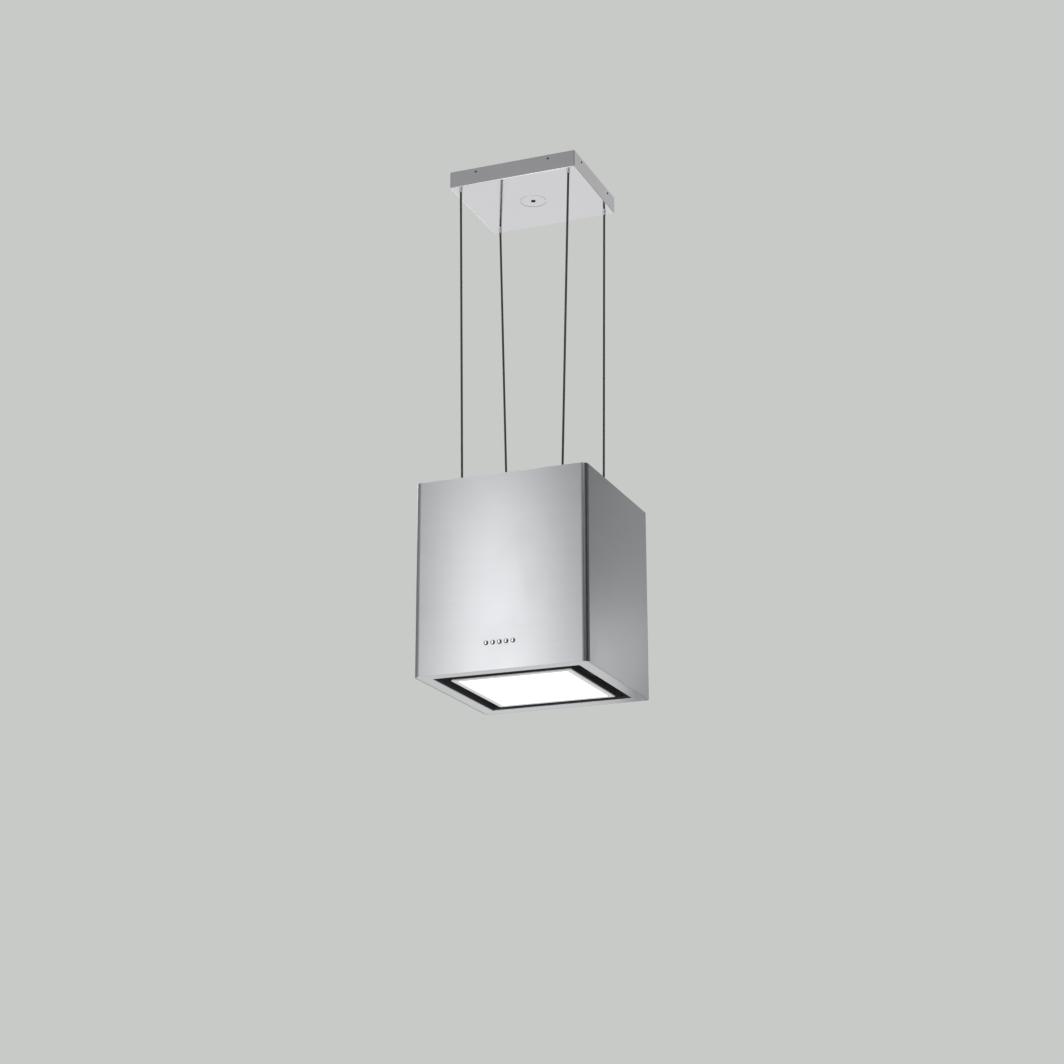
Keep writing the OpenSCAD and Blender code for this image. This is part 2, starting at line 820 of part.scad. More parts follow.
// Rubber buffers between the bracket and the blower housing
module rubber_mounts() {
    color("black") for (a = arm_angles) on_blower(spider_x - 0.5) rotate(a)
        translate([mount_ring_r, 0, 0]) {
            cylinder(r = 2.4, h = 3);
            translate([0, 0, 2.7]) cylinder(r = 5, h = -scroll_w / 2 - spider_x - 2.4);
        }
}

// ------------------------------------------------------- electrical parts

// Motor run capacitor lying on the lower ring
module capacitor() {
    color("white") translate([-inset_w / 2 + 16, 10, base + ring_u1 + 14.3]) rotate([-90, 0, 0]) {
        cylinder(r = 14, h = 66);
        for (x = [-5, 5]) translate([x, 0, 65]) cylinder(r = 1.5, h = 8);
    }
}

// Open-fronted steel box for the control board
module electronics_box() {
    y0 = inset_d / 2 - 28;
    y1 = inset_d / 2 - 2.5;
    color("silver") at_u(ring_u1 + 0.3) difference() {
        span([-90, y0, 0], [90, y1, 102]);
        span([-88.5, y0 - 1, 1.5], [88.5, y1 - 1.5, 100.5]);
        for (x = [-70, 0]) translate([x, y0 + 9, 99]) cylinder(r = 4, h = 5);
        translate([80, y0 + 9, 30]) rotate([0, 90, 0]) cylinder(r = 4, h = 20);
    }
}

// Control board with its transformer, relays and terminals
module circuit_board() {
    y = inset_d / 2 - 7;
    color("green") translate([0, y, base + ring_u1 + 4]) {
        span([-84, -1.6, 0], [84, 0, 94]);
        span([-76, -15.6, 8], [-40, -1.5, 40]);
        for (x = [-28, -12, 4]) span([x, -13.6, 10], [x + 12, -1.5, 36]);
        for (x = [24:9:69]) span([x, -11.6, 8], [x + 8, -1.5, 22]);
        span([-60, -9.6, 62], [-20, -1.5, 82]);
    }
}

// Driver for the light panel, lying on the lower ring
module led_driver() {
    y1 = -inset_d / 2 + 28;
    color("whitesmoke") at_u(ring_u1 + 0.3) {
        span([-90, y1 - 25, 0], [10, y1, 24]);
        for (x = [-96, 9.5]) span([x, y1 - 20, 0], [x + 6.5, y1 - 5, 3]);
    }
}

// Plastic housing behind the front wall that guides the buttons
module switch_housing() {
    color("black") difference() {
        translate([-housing_w / 2, housing_y0, base + button_u - housing_h / 2])
            cube([housing_w, housing_y1 - housing_y0, housing_h]);
        translate([-housing_w / 2 + 2, housing_y0 + guide_t, base + button_u - housing_h / 2 + 2])
            cube([housing_w - 4, 30, housing_h - 4]);
        for (x = button_xs) translate([x, housing_y0 - 1, base + button_u])
            rotate([-90, 0, 0]) cylinder(d = button_d + 0.2, h = guide_t + 2);
    }
}

// Board with five push switches, one behind each button
module switch_board() {
    half_w = housing_w / 2 - 2.4;
    half_h = housing_h / 2 - 2.4;
    switch_half = 1.9;
    color("green") translate([0, board_y, base + button_u]) {
        span([-half_w, 0, -half_h], [half_w, board_t, half_h]);
        for (x = button_xs)
            span([x - switch_half, -switch_h, -switch_half], [x + switch_half, eps, switch_half]);
    }
}

// Push-button with a domed face, a retaining collar and a stem
module button(i) {
    r = button_d / 2;
    dome = 1.2;
    sphere_r = (r * r + dome * dome) / (2 * dome);
    face = front_y - button_proud;
    color("silver") translate([button_xs[i], 0, base + button_u]) rotate([-90, 0, 0]) rotate_extrude()
        polygon(concat(
            [for (k = [0:8]) let (a = asin(r / sphere_r) * k / 8)
                [sphere_r * sin(a), face + sphere_r * (1 - cos(a))]],
            [[r, collar_y], [collar_r, collar_y], [collar_r, collar_y + collar_t],
             [stem_r, collar_y + collar_t], [stem_r, stem_y], [0, stem_y]]));
}

module button_1() { button(0); }
module button_2() { button(1); }
module button_3() { button(2); }
module button_4() { button(3); }
module button_5() { button(4); }

// Return springs around the button stems
module button_springs() {
    turns = 4;
    steps = 10;
    wire_r = 0.3;
    coil_r = 3.2;
    y0 = collar_y + collar_t + wire_r + 0.1;
    y1 = board_y - wire_r - 0.1;
    color("silver") for (x = button_xs)
        swept([for (k = [0:turns * steps]) let (a = 360 * k / steps)
            [x + coil_r * cos(a), y0 + (y1 - y0) * k / (turns * steps), base + button_u + coil_r * sin(a)]],
            wire_r, 6);
}

// -------------------------------------------------------- grease filter

// Frame of the grease filter, with the latch guides under its front rail
module filter_frame() {
    half = filter_w / 2;
    rail = filter_rail;
    lip = 6;
    guide_x = latch_w / 2 + 0.4;
    color("silver") at_u(filter_u) {
        difference() {
            flat_ring(filter_w, filter_w, filter_w - 2 * rail, filter_w - 2 * rail, filter_h);
            translate([0, 0, 1.2])
                flat_ring(filter_w - 2 * rail + 2 * 8, filter_w - 2 * rail + 2 * 8,
                          filter_w - 2 * rail - 2 * lip, filter_w - 2 * rail - 2 * lip, filter_h - 2.4);
        }
        both_sides() {
            span([guide_x, -half + 8, -latch_t - 2], [guide_x + 3, -half + 33, eps]);
            span([guide_x - 4, -half + 8, -latch_t - 2], [guide_x + 3, -half + 33, -latch_t - 0.6]);
        }
    }
}

// Layered aluminium mesh
module filter_mesh() {
    w = filter_w - 2 * filter_rail + 15;
    color("darkgray") at_u(filter_u + 1.5)
        translate([-w / 2, -w / 2, 0]) cube([w, w, filter_h - 3]);
}

// Sliding latch with its finger pull
module filter_latch() {
    half = filter_w / 2;
    pull_y = -half + 30;
    color("black") at_u(latch_u) {
        span([-latch_w / 2, -half + 2, 0], [latch_w / 2, -half + 33, latch_t]);
        span([-tongue_w / 2, -half - tongue_reach, 0], [tongue_w / 2, -half + 3, latch_t]);
        span([-tongue_w / 2, pull_y, -12.7], [tongue_w / 2, pull_y + 2.5, eps]);
    }
}

// ------------------------------------------------------------ light panel

// Frosted glass face
module panel_glass() {
    color("white") at_u(0) linear_extrude(glass_t) round_rect(glass_w, glass_w, 2);
}

// Black frame behind the glass
module panel_frame() {
    color("black") at_u(glass_t) {
        flat_ring(panel_w, panel_w, panel_w - 2 * panel_rim, panel_w - 2 * panel_rim, 1.2);
        flat_ring(panel_w, panel_w, panel_w - 2 * panel_wall, panel_w - 2 * panel_wall,
                  panel_u1 - sheet_t - glass_t - 0.05);
    }
}

// Back plate of the light panel, with the two strikes for the magnets
module panel_back() {
    color("dimgray") at_u(panel_u1 - sheet_t) {
        span([-panel_w / 2, -panel_w / 2, 0], [panel_w / 2, panel_w / 2, sheet_t]);
        for (x = [-strike_x, strike_x])
            span([x - 12, strike_y - 8, sheet_t - eps], [x + 12, strike_y + 8, sheet_t + strike_t]);
    }
}

// LED strips on the inside of the back plate
module led_strips() {
    strips = 5;
    leds = 8;
    pitch = (panel_w - 50) / (strips - 1);
    color("ivory") at_u(panel_u1 - sheet_t - 1.7) for (i = [0:strips - 1])
        translate([0, -panel_w / 2 + 25 + i * pitch, 0]) {
            span([-115, -5, 0], [115, 5, 1.6]);
            for (k = [0:leds - 1]) translate([-98 + k * 28, 0, 0]) span([-1.5, -1.5, -0.8], [1.5, 1.5, eps]);
        }
}

// Magnets on brackets that hold the panel shut at the front
module magnet_catches() {
    wall_y = -throat_in_y + 0.1;
    plate_u = 27.3;
    strike_top = panel_u1 + strike_t + 0.2;
    color("dimgray") for (x = [-strike_x, strike_x]) union() {
        at_u(plate_u) span([x - 12, wall_y, 0], [x + 12, strike_y + 9, 1.5]);
        at_u(plate_u) span([x - 12, wall_y, 0], [x + 12, wall_y + 1.5, 13]);
        at_u(strike_top) translate([x, strike_y, 0]) cylinder(r = 6, h = plate_u - strike_top + eps);
    }
}

// Puts children at both hinges, on the hinge line
module at_hinges() {
    for (x = [-hinge_x, hinge_x]) translate([x, hinge_y, base + hinge_u]) children();
}

// Hinge barrel along X between two positions
module barrel(x0, x1) {
    translate([x0, 0, 0]) rotate([0, 90, 0]) cylinder(r = hinge_r, h = x1 - x0);
}

// Moving leaves on the panel's rear wall
module hinge_leaves() {
    wall = panel_w / 2 + 0.1 - hinge_y;
    color("black") at_hinges() difference() {
        union() {
            span([-15, wall, -7], [15, wall + 1.5, 6]);
            span([-6.5, wall, -1.5], [6.5, -1, 1.5]);
            barrel(-6.5, 6.5);
        }
        translate([-10, 0, 0]) rotate([0, 90, 0]) cylinder(r = pin_r + 0.05, h = 20);
    }
}

// Fixed leaves on the rear wall of the throat
module hinge_brackets() {
    wall = throat_in_y - 0.1 - hinge_y;
    color("black") at_hinges() difference() {
        union() {
            span([-16, wall - 1.5, -4], [16, wall, 18]);
            both_sides() {
                span([7, 0, 0], [15, wall, hinge_r - 0.5]);
                barrel(7, 15);
            }
        }
        translate([-20, 0, 0]) rotate([0, 90, 0]) cylinder(r = pin_r + 0.02, h = 40);
    }
}

// Hinge pins
module hinge_pins() {
    color("silver") at_hinges() translate([-16.5, 0, 0]) rotate([0, 90, 0]) cylinder(r = pin_r, h = 33);
}

// Fixed leads inside the body: supply, motor and switches
module wiring() {
    box_y = inset_d / 2 - 19;
    box_top = base + ring_u1 + 103;
    supply = [[0, gland_y, top - 2], [0, gland_y, top - 60], [0, 150, top - 110],
              [0, box_y, top - 160], [0, box_y, box_top]];
    motor = [[-70, box_y, box_top], [-75, 165, base + 215], [-95, 110, base + 235],
             [-100, 30, base + 225], [-95, blower_y + 12, base + blower_u + 8],
             [spider_x + 3, blower_y + 12, base + blower_u + 8]];
    switches = [[40, -180, base + button_u + housing_h / 2 + 1], [40, -180, base + 95], [70, -178, base + 112],
                [130, -172, base + 115], [172, -140, base + 115], [178, -60, base + 112], [178, 80, base + 110],
                [172, 140, base + 108], [140, box_y, base + 107], [93, box_y, base + 107.3]];
    color("dimgray") {
        swept(cut_corners(cut_corners(supply)), 3.2);
        swept(cut_corners(cut_corners(motor)), 2.5);
        swept(cut_corners(cut_corners(switches)), 2);
    }
}

ceiling_bracket();
ceiling_tray();
m3_screws();
outlet_cap();
cable_grommet();
junction_box();
rope_clamps();
rope_bushes();
rope_front_left();
rope_front_right();
rope_rear_left();
rope_rear_right();
rope_terminals();
terminal_nuts();
outer_shell();
rim_frame();
throat();
lower_ring();
corner_posts();
cross_rails();
upper_frame();
top_panel();
cable_gland();
outlet_grille();
carbon_frame();
carbon_core();
outlet_duct();
scroll_left();
scroll_right();
impeller();
motor_rotor();
motor_bearings();
motor_stator();
motor_shells();
motor_spider();
rubber_mounts();
capacitor();
electronics_box();
circuit_board();
led_driver();
switch_housing();
switch_board();
button_1();
button_2();
button_3();
button_4();
button_5();
button_springs();
filter_frame();
filter_mesh();
filter_latch();
panel_glass();
panel_frame();
panel_back();
led_strips();
magnet_catches();
hinge_leaves();
hinge_brackets();
hinge_pins();
wiring();
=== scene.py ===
"""Looks of the island range hood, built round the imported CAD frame.

The body, the ceiling plate and all that shows on them are rebuilt here with rolled
edges, real holes and fine detail. The other CAD nodes stay and get their finishes.
Everything is in metres in the frame of the CAD model: +Z is up, the ceiling is at
z = 0, and the buttons are on the -Y side.
"""
import json
import math

import bmesh
import bpy
from mathutils import Matrix, Quaternion, Vector


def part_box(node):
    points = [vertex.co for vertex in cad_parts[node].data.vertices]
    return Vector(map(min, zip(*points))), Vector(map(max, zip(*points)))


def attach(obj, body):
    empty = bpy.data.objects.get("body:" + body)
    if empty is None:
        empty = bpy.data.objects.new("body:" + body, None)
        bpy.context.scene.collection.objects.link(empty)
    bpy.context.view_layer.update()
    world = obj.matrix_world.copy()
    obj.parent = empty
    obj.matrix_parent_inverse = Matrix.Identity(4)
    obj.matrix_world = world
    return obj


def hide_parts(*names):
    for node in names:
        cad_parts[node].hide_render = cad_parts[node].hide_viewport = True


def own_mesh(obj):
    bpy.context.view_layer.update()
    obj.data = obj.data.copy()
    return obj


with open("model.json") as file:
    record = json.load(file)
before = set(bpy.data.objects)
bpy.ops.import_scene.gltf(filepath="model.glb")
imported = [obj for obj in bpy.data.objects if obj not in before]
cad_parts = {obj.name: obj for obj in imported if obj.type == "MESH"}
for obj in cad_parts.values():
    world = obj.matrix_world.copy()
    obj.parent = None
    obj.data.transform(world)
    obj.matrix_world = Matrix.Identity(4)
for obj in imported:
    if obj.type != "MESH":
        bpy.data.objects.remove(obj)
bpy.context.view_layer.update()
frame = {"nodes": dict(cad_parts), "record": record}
NODES = frame["nodes"]
BODY_OF = {n: body for body, names in frame["record"]["behaviour"]["bodies"].items() for n in names}
SLOT_OF = {part["node"]: part["material_slot"] for part in frame["record"]["subparts"]}
MM = 0.001

# Sheet thickness, rounding of cut edges, and outside radius of the body's upright corners
SHEET = 1.2 * MM
EDGE = 0.3 * MM
CORNER_R = 13 * MM
# Corner radius of the pieces that fit inside the shell
INSIDE_R = CORNER_R - SHEET - 0.4 * MM


# ------------------------------------------------------------------ camera

# Place in metres, angles in radians, lens and sensor in millimetres
CAMERA_AT = Vector((1.7195, -4.3157, -2.2695))
CAMERA_YAW = -0.3801
CAMERA_PITCH = 0.3001
CAMERA_ROLL = -0.0018
CAMERA_LENS = 75.42
CAMERA_SENSOR = 36
CAMERA_REACH = 100


def add_camera():
    """Low camera in front and to the right, looking up at the hood."""
    data = bpy.data.cameras.new("camera")
    data.lens = CAMERA_LENS
    data.sensor_width = CAMERA_SENSOR
    data.clip_end = CAMERA_REACH
    camera = bpy.data.objects.new("camera", data)
    level = math.cos(CAMERA_PITCH)
    forward = Vector((math.sin(CAMERA_YAW) * level, math.cos(CAMERA_YAW) * level, math.sin(CAMERA_PITCH)))
    camera.location = CAMERA_AT
    camera.rotation_mode = "QUATERNION"
    camera.rotation_quaternion = forward.to_track_quat("-Z", "Y") @ Quaternion((0, 0, 1), CAMERA_ROLL)
    bpy.context.scene.collection.objects.link(camera)
    bpy.context.scene.camera = camera


add_camera()


# --------------------------------------------------------- material builder

class Finish:
    """One material's node tree. Its textures read the piece's own coordinates in metres."""

    def __init__(self, name, color, rough, metal=0.0, **sockets):
        self.mat = bpy.data.materials.new(name)
        self.mat.use_nodes = True
        self.tree = self.mat.node_tree
        self.shader = self.tree.nodes["Principled BSDF"]
        self.shader.inputs["Base Color"].default_value = (*color, 1)
        self.shader.inputs["Roughness"].default_value = rough
        self.shader.inputs["Metallic"].default_value = metal
        for socket, value in sockets.items():
            self.shader.inputs[socket.replace("_", " ")].default_value = value
        self.at = self.node("ShaderNodeTexCoord").outputs["Object"]

    def node(self, kind, **settings):
        """Adds a node. A setting whose name is a socket's sets that socket or links to it."""
        made = self.tree.nodes.new(kind)
        for name, value in settings.items():
            if name.startswith("in_"):
                self.put(value, made.inputs[int(name[3:])])
            else:
                setattr(made, name, value)
        return made

    def put(self, value, socket):
        """Links a socket to another node's output, or sets its value."""
        if isinstance(value, bpy.types.NodeSocket):
            self.tree.links.new(value, socket)
        else:
            socket.default_value = value

    def to(self, socket, value):
        """Feeds the shader's socket of that name."""
        self.put(value, self.shader.inputs[socket])

    def stretched(self, scale):
        """The coordinates times one factor for each axis."""
        return self.node("ShaderNodeMapping", in_0=self.at, in_3=scale).outputs[0]

    def noise(self, scale, detail=2.0, rough=0.5):
        """Noise from 0 to 1. scale is in lumps to the metre, one number or one for each axis."""
        where = self.stretched(scale if isinstance(scale, tuple) else (scale,) * 3)
        made = self.node("ShaderNodeTexNoise", in_0=where)
        made.inputs["Scale"].default_value = 1.0
        made.inputs["Detail"].default_value = detail
        made.inputs["Roughness"].default_value = rough
        return made.outputs[0]

    def cells(self, scale, feature="F1", output="Distance"):
        """Voronoi cells, that many to the metre."""
        where = self.stretched((scale,) * 3)
        made = self.node("ShaderNodeTexVoronoi", feature=feature)
        made.inputs["Scale"].default_value = 1.0
        self.put(where, made.inputs["Vector"])
        return made.outputs[output]

    def remap(self, value, low, high, start=0.0, end=1.0):
        """Takes start..end to low..high and holds it there."""
        made = self.node("ShaderNodeMapRange", in_0=value, in_1=start, in_2=end, in_3=low, in_4=high)
        return made.outputs[0]

    def math(self, operation, first, second=0.0):
        """Result of a calculation with one or two values."""
        return self.node("ShaderNodeMath", operation=operation, in_0=first, in_1=second).outputs[0]

    def mix(self, share, first, second):
        """Colour between first, at share 0, and second, at share 1."""
        made = self.node("ShaderNodeMix", data_type="RGBA")
        colors = [c if isinstance(c, bpy.types.NodeSocket) else (*c, 1) for c in (first, second)]
        for value, socket in ((share, 0), (colors[0], 6), (colors[1], 7)):
            self.put(value, made.inputs[socket])
        return made.outputs[2]

    def bump(self, height, depth):
        """Raises the surface by depth metres where height is 1."""
        made = self.node("ShaderNodeBump")
        made.inputs["Strength"].default_value = 1.0
        made.inputs["Distance"].default_value = depth
        self.put(height, made.inputs["Height"])
        self.to("Normal", made.outputs[0])


def shades(color, low, high):
    """A colour times two factors."""
    return tuple(c * low for c in color), tuple(c * high for c in color)


# ------------------------------------------------------------------ finishes

def brushed(name, stroke, color, rough, turn=0.25, aniso=0.6):
    """Brushed stainless steel. stroke is how many streaks the metre holds along each axis."""
    fine = Finish(name, color, rough, 1.0, Anisotropic=aniso, Anisotropic_Rotation=turn)
    streaks = fine.noise(stroke, 3.0, 0.6)
    bands = fine.noise(tuple(max(s / 9, 1.5) for s in stroke), 2.0)
    clouds = fine.noise(7.0, 3.0)
    smudge = fine.noise((18.0, 18.0, 11.0), 4.0, 0.6)
    grain = fine.math("ADD", fine.math("MULTIPLY", streaks, 0.55), fine.math("MULTIPLY", bands, 0.45))
    low, high = shades(color, 0.96, 1.04)
    fine.to("Base Color", fine.mix(fine.remap(grain, 0, 1, 0.2, 0.8), low, high))
    worn = fine.math("ADD", fine.remap(clouds, -0.02, 0.03), fine.remap(smudge, 0, 0.035, 0.5, 0.8))
    fine.to("Roughness", fine.math("ADD", fine.remap(grain, rough - 0.02, rough + 0.02, 0.2, 0.8), worn))
    fine.bump(streaks, 0.002 * MM)
    return fine.mat


def coated(name, color, rough, grain=900.0, depth=0.012 * MM, sheen=0.12):
    """Powder coat or moulded plastic: a fine pebbled skin with faint cloudy wear."""
    skin = Finish(name, color, rough)
    pebbles = skin.noise(grain, 2.0)
    clouds = skin.noise(16.0, 4.0, 0.6)
    low, high = shades(color, 1 - sheen, 1 + sheen)
    skin.to("Base Color", skin.mix(skin.remap(clouds, 0, 1, 0.3, 0.7), low, high))
    skin.to("Roughness", skin.remap(clouds, rough - 0.06, rough + 0.08, 0.3, 0.7))
    skin.bump(pebbles, depth)
    return skin.mat


def galvanised(name, color):
    """Zinc-coated sheet with its spangle of flat crystals, one random shade to each."""
    zinc = Finish(name, color, 0.38, 1.0)
    spangle = zinc.node("ShaderNodeSeparateXYZ", in_0=zinc.cells(170.0, output="Color")).outputs[0]
    streaks = zinc.noise((30.0, 30.0, 400.0), 2.0)
    low, high = shades(color, 0.88, 1.10)
    zinc.to("Base Color", zinc.mix(spangle, low, high))
    rough = zinc.math("ADD", zinc.remap(spangle, 0.34, 0.44), zinc.remap(streaks, -0.03, 0.03))
    zinc.to("Roughness", rough)
    zinc.bump(spangle, 0.01 * MM)
    return zinc.mat


def bright(name, color, rough):
    """Turned or plated bright metal with faint tool marks and wiped patches."""
    metal = Finish(name, color, rough, 1.0)
    marks = metal.noise(2200.0, 2.0)
    wipe = metal.noise(60.0, 4.0, 0.65)
    low, high = shades(color, 0.93, 1.03)
    metal.to("Base Color", metal.mix(wipe, low, high))
    wiped = metal.remap(wipe, rough - 0.02, rough + 0.06, 0.3, 0.7)
    metal.to("Roughness", metal.math("ADD", wiped, metal.remap(marks, -0.02, 0.02)))
    metal.bump(marks, 0.003 * MM)
    return metal.mat


def wire_rope(name, groove, crown):
    """Drawn steel wires, with painted shade in the grooves between them. The piece's UV map "lay" counts
    the wires across.
    """
    steel = Finish(name, crown, 0.40, 1.0)
    place = steel.node("ShaderNodeUVMap", uv_map="lay").outputs[0]
    across = steel.node("ShaderNodeSeparateXYZ", in_0=place).outputs[0]
    crest = steel.math("ABSOLUTE", steel.math("SINE", steel.math("MULTIPLY", across, math.pi)))
    grime = steel.noise(300.0, 3.0, 0.6)
    # The grooves between the wires are painted dark: painted shade
    steel.to("Base Color", steel.mix(steel.remap(crest, 0, 1, 0.0, 0.5), groove, crown))
    steel.to("Roughness", steel.remap(grime, 0.34, 0.48, 0.3, 0.7))
    steel.bump(grime, 0.01 * MM)
    return steel.mat


def button_chrome(name, color, level):
    """Chromed cap whose skirt is painted near black as painted shade, the dark ring round the cap. level is
    where along Y the skirt starts.
    """
    cap = Finish(name, color, 0.15, 1.0)
    back = cap.node("ShaderNodeSeparateXYZ", in_0=cap.at).outputs[1]
    wiped = cap.noise(400.0, 3.0, 0.6)
    low, high = shades(color, 0.96, 1.03)
    plated = cap.mix(cap.remap(wiped, 0, 1, 0.3, 0.7), low, high)
    # Past the level the side is painted near black: painted shade round the cap
    skirt = cap.remap(back, 0, 1, level, level + 0.2 * MM)
    cap.to("Base Color", cap.mix(skirt, plated, (0.02, 0.02, 0.02)))
    cap.to("Roughness", cap.remap(wiped, 0.13, 0.19, 0.3, 0.7))
    cap.bump(wiped, 0.002 * MM)
    return cap.mat


def mirror_plate(name, color, level):
    """Polished steel sheet, a little duller above its flat underside, which is at that level."""
    sheet = Finish(name, color, 0.12, 1.0)
    height = sheet.node("ShaderNodeSeparateXYZ", in_0=sheet.at).outputs[2]
    rolled = sheet.noise((4.0, 1200.0, 1200.0), 3.0, 0.6)
    wiped = sheet.noise(9.0, 4.0, 0.6)
    low, high = shades(color, 0.98, 1.02)
    sheet.to("Base Color", sheet.mix(sheet.remap(rolled, 0, 1, 0.2, 0.8), low, high))
    dull = sheet.remap(height, 0.07, 0.20, level + 0.5 * MM, level + 3 * MM)
    sheet.to("Roughness", sheet.math("ADD", dull, sheet.remap(wiped, 0, 0.03, 0.3, 0.7)))
    sheet.bump(rolled, 0.0004 * MM)
    return sheet.mat


def opal_glass(name, half, border):
    """White glass, lit from behind except along its border, where its colour is also painted greyer as
    painted shade. half is half its width.
    """
    white = (0.86, 0.87, 0.87)
    glass = Finish(name, white, 0.22, IOR=1.5, Emission_Strength=1.0, Coat_Weight=0.3,
                   Coat_Roughness=0.08)
    axes = glass.node("ShaderNodeSeparateXYZ", in_0=glass.at).outputs
    reach = glass.math("MAXIMUM", glass.math("ABSOLUTE", axes[0]), glass.math("ABSOLUTE", axes[1]))
    glow = glass.remap(reach, 1.0, 0.0, half - border - 1 * MM, half - border + 1 * MM)
    haze = glass.remap(glass.noise(25.0, 2.0), 0.97, 1.03, 0.3, 0.7)
    lit = glass.mix(glow, (0.06, 0.06, 0.06), (0.95, 0.97, 1.0))
    # Greyer colour along the unlit border: painted shade
    glass.to("Base Color", glass.mix(glow, (0.70, 0.71, 0.71), white))
    dim = glass.node("ShaderNodeMix", data_type="RGBA", blend_type="MULTIPLY")
    for value, socket in ((1.0, 0), (lit, 6), (haze, 7)):
        glass.put(value, dim.inputs[socket])
    glass.to("Emission Color", dim.outputs[2])
    glass.bump(glass.noise(1500.0, 1.0), 0.002 * MM)
    return glass.mat


def charcoal(name):
    """Packed activated charcoal granules."""
    coal = Finish(name, (0.018, 0.018, 0.019), 0.55)
    coal.to("Base Color", coal.mix(coal.noise(700.0, 2.0), (0.008, 0.008, 0.008), (0.05, 0.05, 0.052)))
    coal.to("Roughness", coal.remap(coal.noise(500.0), 0.35, 0.8, 0.35, 0.65))
    coal.bump(coal.cells(420.0), -0.6 * MM)
    return coal.mat


def circuit(name):
    """Green solder mask over etched copper tracks."""
    mask = (0.01, 0.12, 0.05)
    board = Finish(name, mask, 0.3, Coat_Weight=0.4)
    tracks = board.cells(260.0, "DISTANCE_TO_EDGE")
    copper = board.remap(tracks, 1.0, 0.0, 0.05, 0.09)
    board.to("Base Color", board.mix(copper, mask, (0.03, 0.22, 0.09)))
    board.to("Roughness", board.remap(board.noise(90.0), 0.25, 0.4))
    board.bump(copper, 0.03 * MM)
    return board.mat


def laminated(name, color, rough):
    """Thin sheets or windings stacked along X, with a line at each layer."""
    stack = Finish(name, color, rough, 0.6)
    depth = stack.node("ShaderNodeSeparateXYZ", in_0=stack.at).outputs[0]
    wave = stack.math("SINE", stack.math("MULTIPLY", depth, 9000.0))
    low, high = shades(color, 0.5, 1.1)
    stack.to("Base Color", stack.mix(stack.remap(wave, 0, 1, -0.8, 0.2), low, high))
    stack.to("Roughness", stack.remap(stack.noise(200.0), rough - 0.08, rough + 0.1))
    stack.bump(wave, 0.05 * MM)
    return stack.mat


GLASS_LOW, GLASS_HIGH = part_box("panel_glass")
TRAY_LOW, TRAY_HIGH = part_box("ceiling_tray")
CAP_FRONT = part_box("button_1")[0].y
STEEL = (0.595, 0.605, 0.622)
finish = {
    "brushed_steel": brushed("brushed_steel", (5.0, 5.0, 1400.0), STEEL, 0.30),
    "rim_steel": brushed("rim_steel", (5.0, 1400.0, 5.0), STEEL, 0.28, turn=0.0, aniso=0.3),
    "satin_steel": brushed("satin_steel", (5.0, 900.0, 900.0), (0.58, 0.58, 0.60), 0.34, aniso=0.2),
    "plate_steel": mirror_plate("plate_steel", (0.70, 0.70, 0.72), TRAY_LOW.z),
    "zinc_steel": galvanised("zinc_steel", (0.50, 0.51, 0.52)),
    "bright_steel": bright("bright_steel", (0.74, 0.74, 0.75), 0.10),
    "button_chrome": button_chrome("button_chrome", (0.72, 0.72, 0.73), CAP_FRONT + 0.35 * MM),
    "rope_steel": wire_rope("rope_steel", (0.03, 0.03, 0.03), (0.16, 0.16, 0.165)),
    "black_paint": coated("black_paint", (0.055, 0.055, 0.058), 0.50),
    "black_plastic": coated("black_plastic", (0.018, 0.018, 0.018), 0.5, 700.0, 0.02 * MM),
    "white_plastic": coated("white_plastic", (0.72, 0.71, 0.68), 0.42, 600.0, 0.02 * MM, 0.04),
    "grey_plastic": coated("grey_plastic", (0.12, 0.125, 0.13), 0.5, 500.0, 0.03 * MM),
    "black_rubber": coated("black_rubber", (0.014, 0.014, 0.014), 0.72, 1200.0, 0.02 * MM),
    "aluminium": bright("aluminium", (0.66, 0.67, 0.68), 0.30),
    "carbon": charcoal("carbon"),
    "board_green": circuit("board_green"),
    "copper_steel": laminated("copper_steel", (0.45, 0.17, 0.06), 0.4),
    "opal_glass": opal_glass("opal_glass", GLASS_HIGH.x, 12 * MM),
    "screw_steel": bright("screw_steel", (0.05, 0.05, 0.052), 0.34),
}


# ------------------------------------------------------------ mesh builders

def rounded_loop(width, depth, radius, z, steps=10):
    """Points of a rectangle with round corners, anticlockwise seen from above."""
    radius = max(radius, 0.05 * MM)
    points = []
    for corner, (side_x, side_y) in enumerate(((1, 1), (-1, 1), (-1, -1), (1, -1))):
        for step in range(steps + 1):
            angle = math.radians(90) * (corner + step / steps)
            points.append(Vector((side_x * (width / 2 - radius) + radius * math.cos(angle),
                                  side_y * (depth / 2 - radius) + radius * math.sin(angle), z)))
    return points


def moved(points, x, y):
    """The same points, moved by x and y."""
    return [p + Vector((x, y, 0)) for p in points]


def round_loop(radius, z, count, sides=0):
    """Points of a circle, or of a polygon with that many sides and that radius at its corners."""
    points = []
    for k in range(count):
        angle = 2 * math.pi * k / count
        reach = radius
        if sides:
            half = math.pi / sides
            reach = radius * math.cos(half) / math.cos((angle % (2 * half)) - half)
        points.append(Vector((reach * math.cos(angle), reach * math.sin(angle), z)))
    return points


def loft(bm, loops, closed=False):
    """Skins a row of equal loops, and caps its ends unless the last loop joins the first."""
    rows = [[bm.verts.new(p) for p in loop] for loop in loops]
    pairs = list(zip(rows, rows[1:]))
    if closed:
        pairs.append((rows[-1], rows[0]))
    for first, second in pairs:
        for i in range(len(first)):
            j = (i + 1) % len(first)
            bm.faces.new((first[i], first[j], second[j], second[i]))
    if not closed:
        bm.faces.new(rows[0][::-1])
        bm.faces.new(rows[-1])


def turned(bm, profile, place=Matrix.Identity(4), count=48, closed=False):
    """Lathe work: rows of (radius, z) or (radius, z, sides) round +Z of the place."""
    loft(bm, [[place @ p for p in round_loop(row[0], row[1], count, *row[2:])] for row in profile], closed)


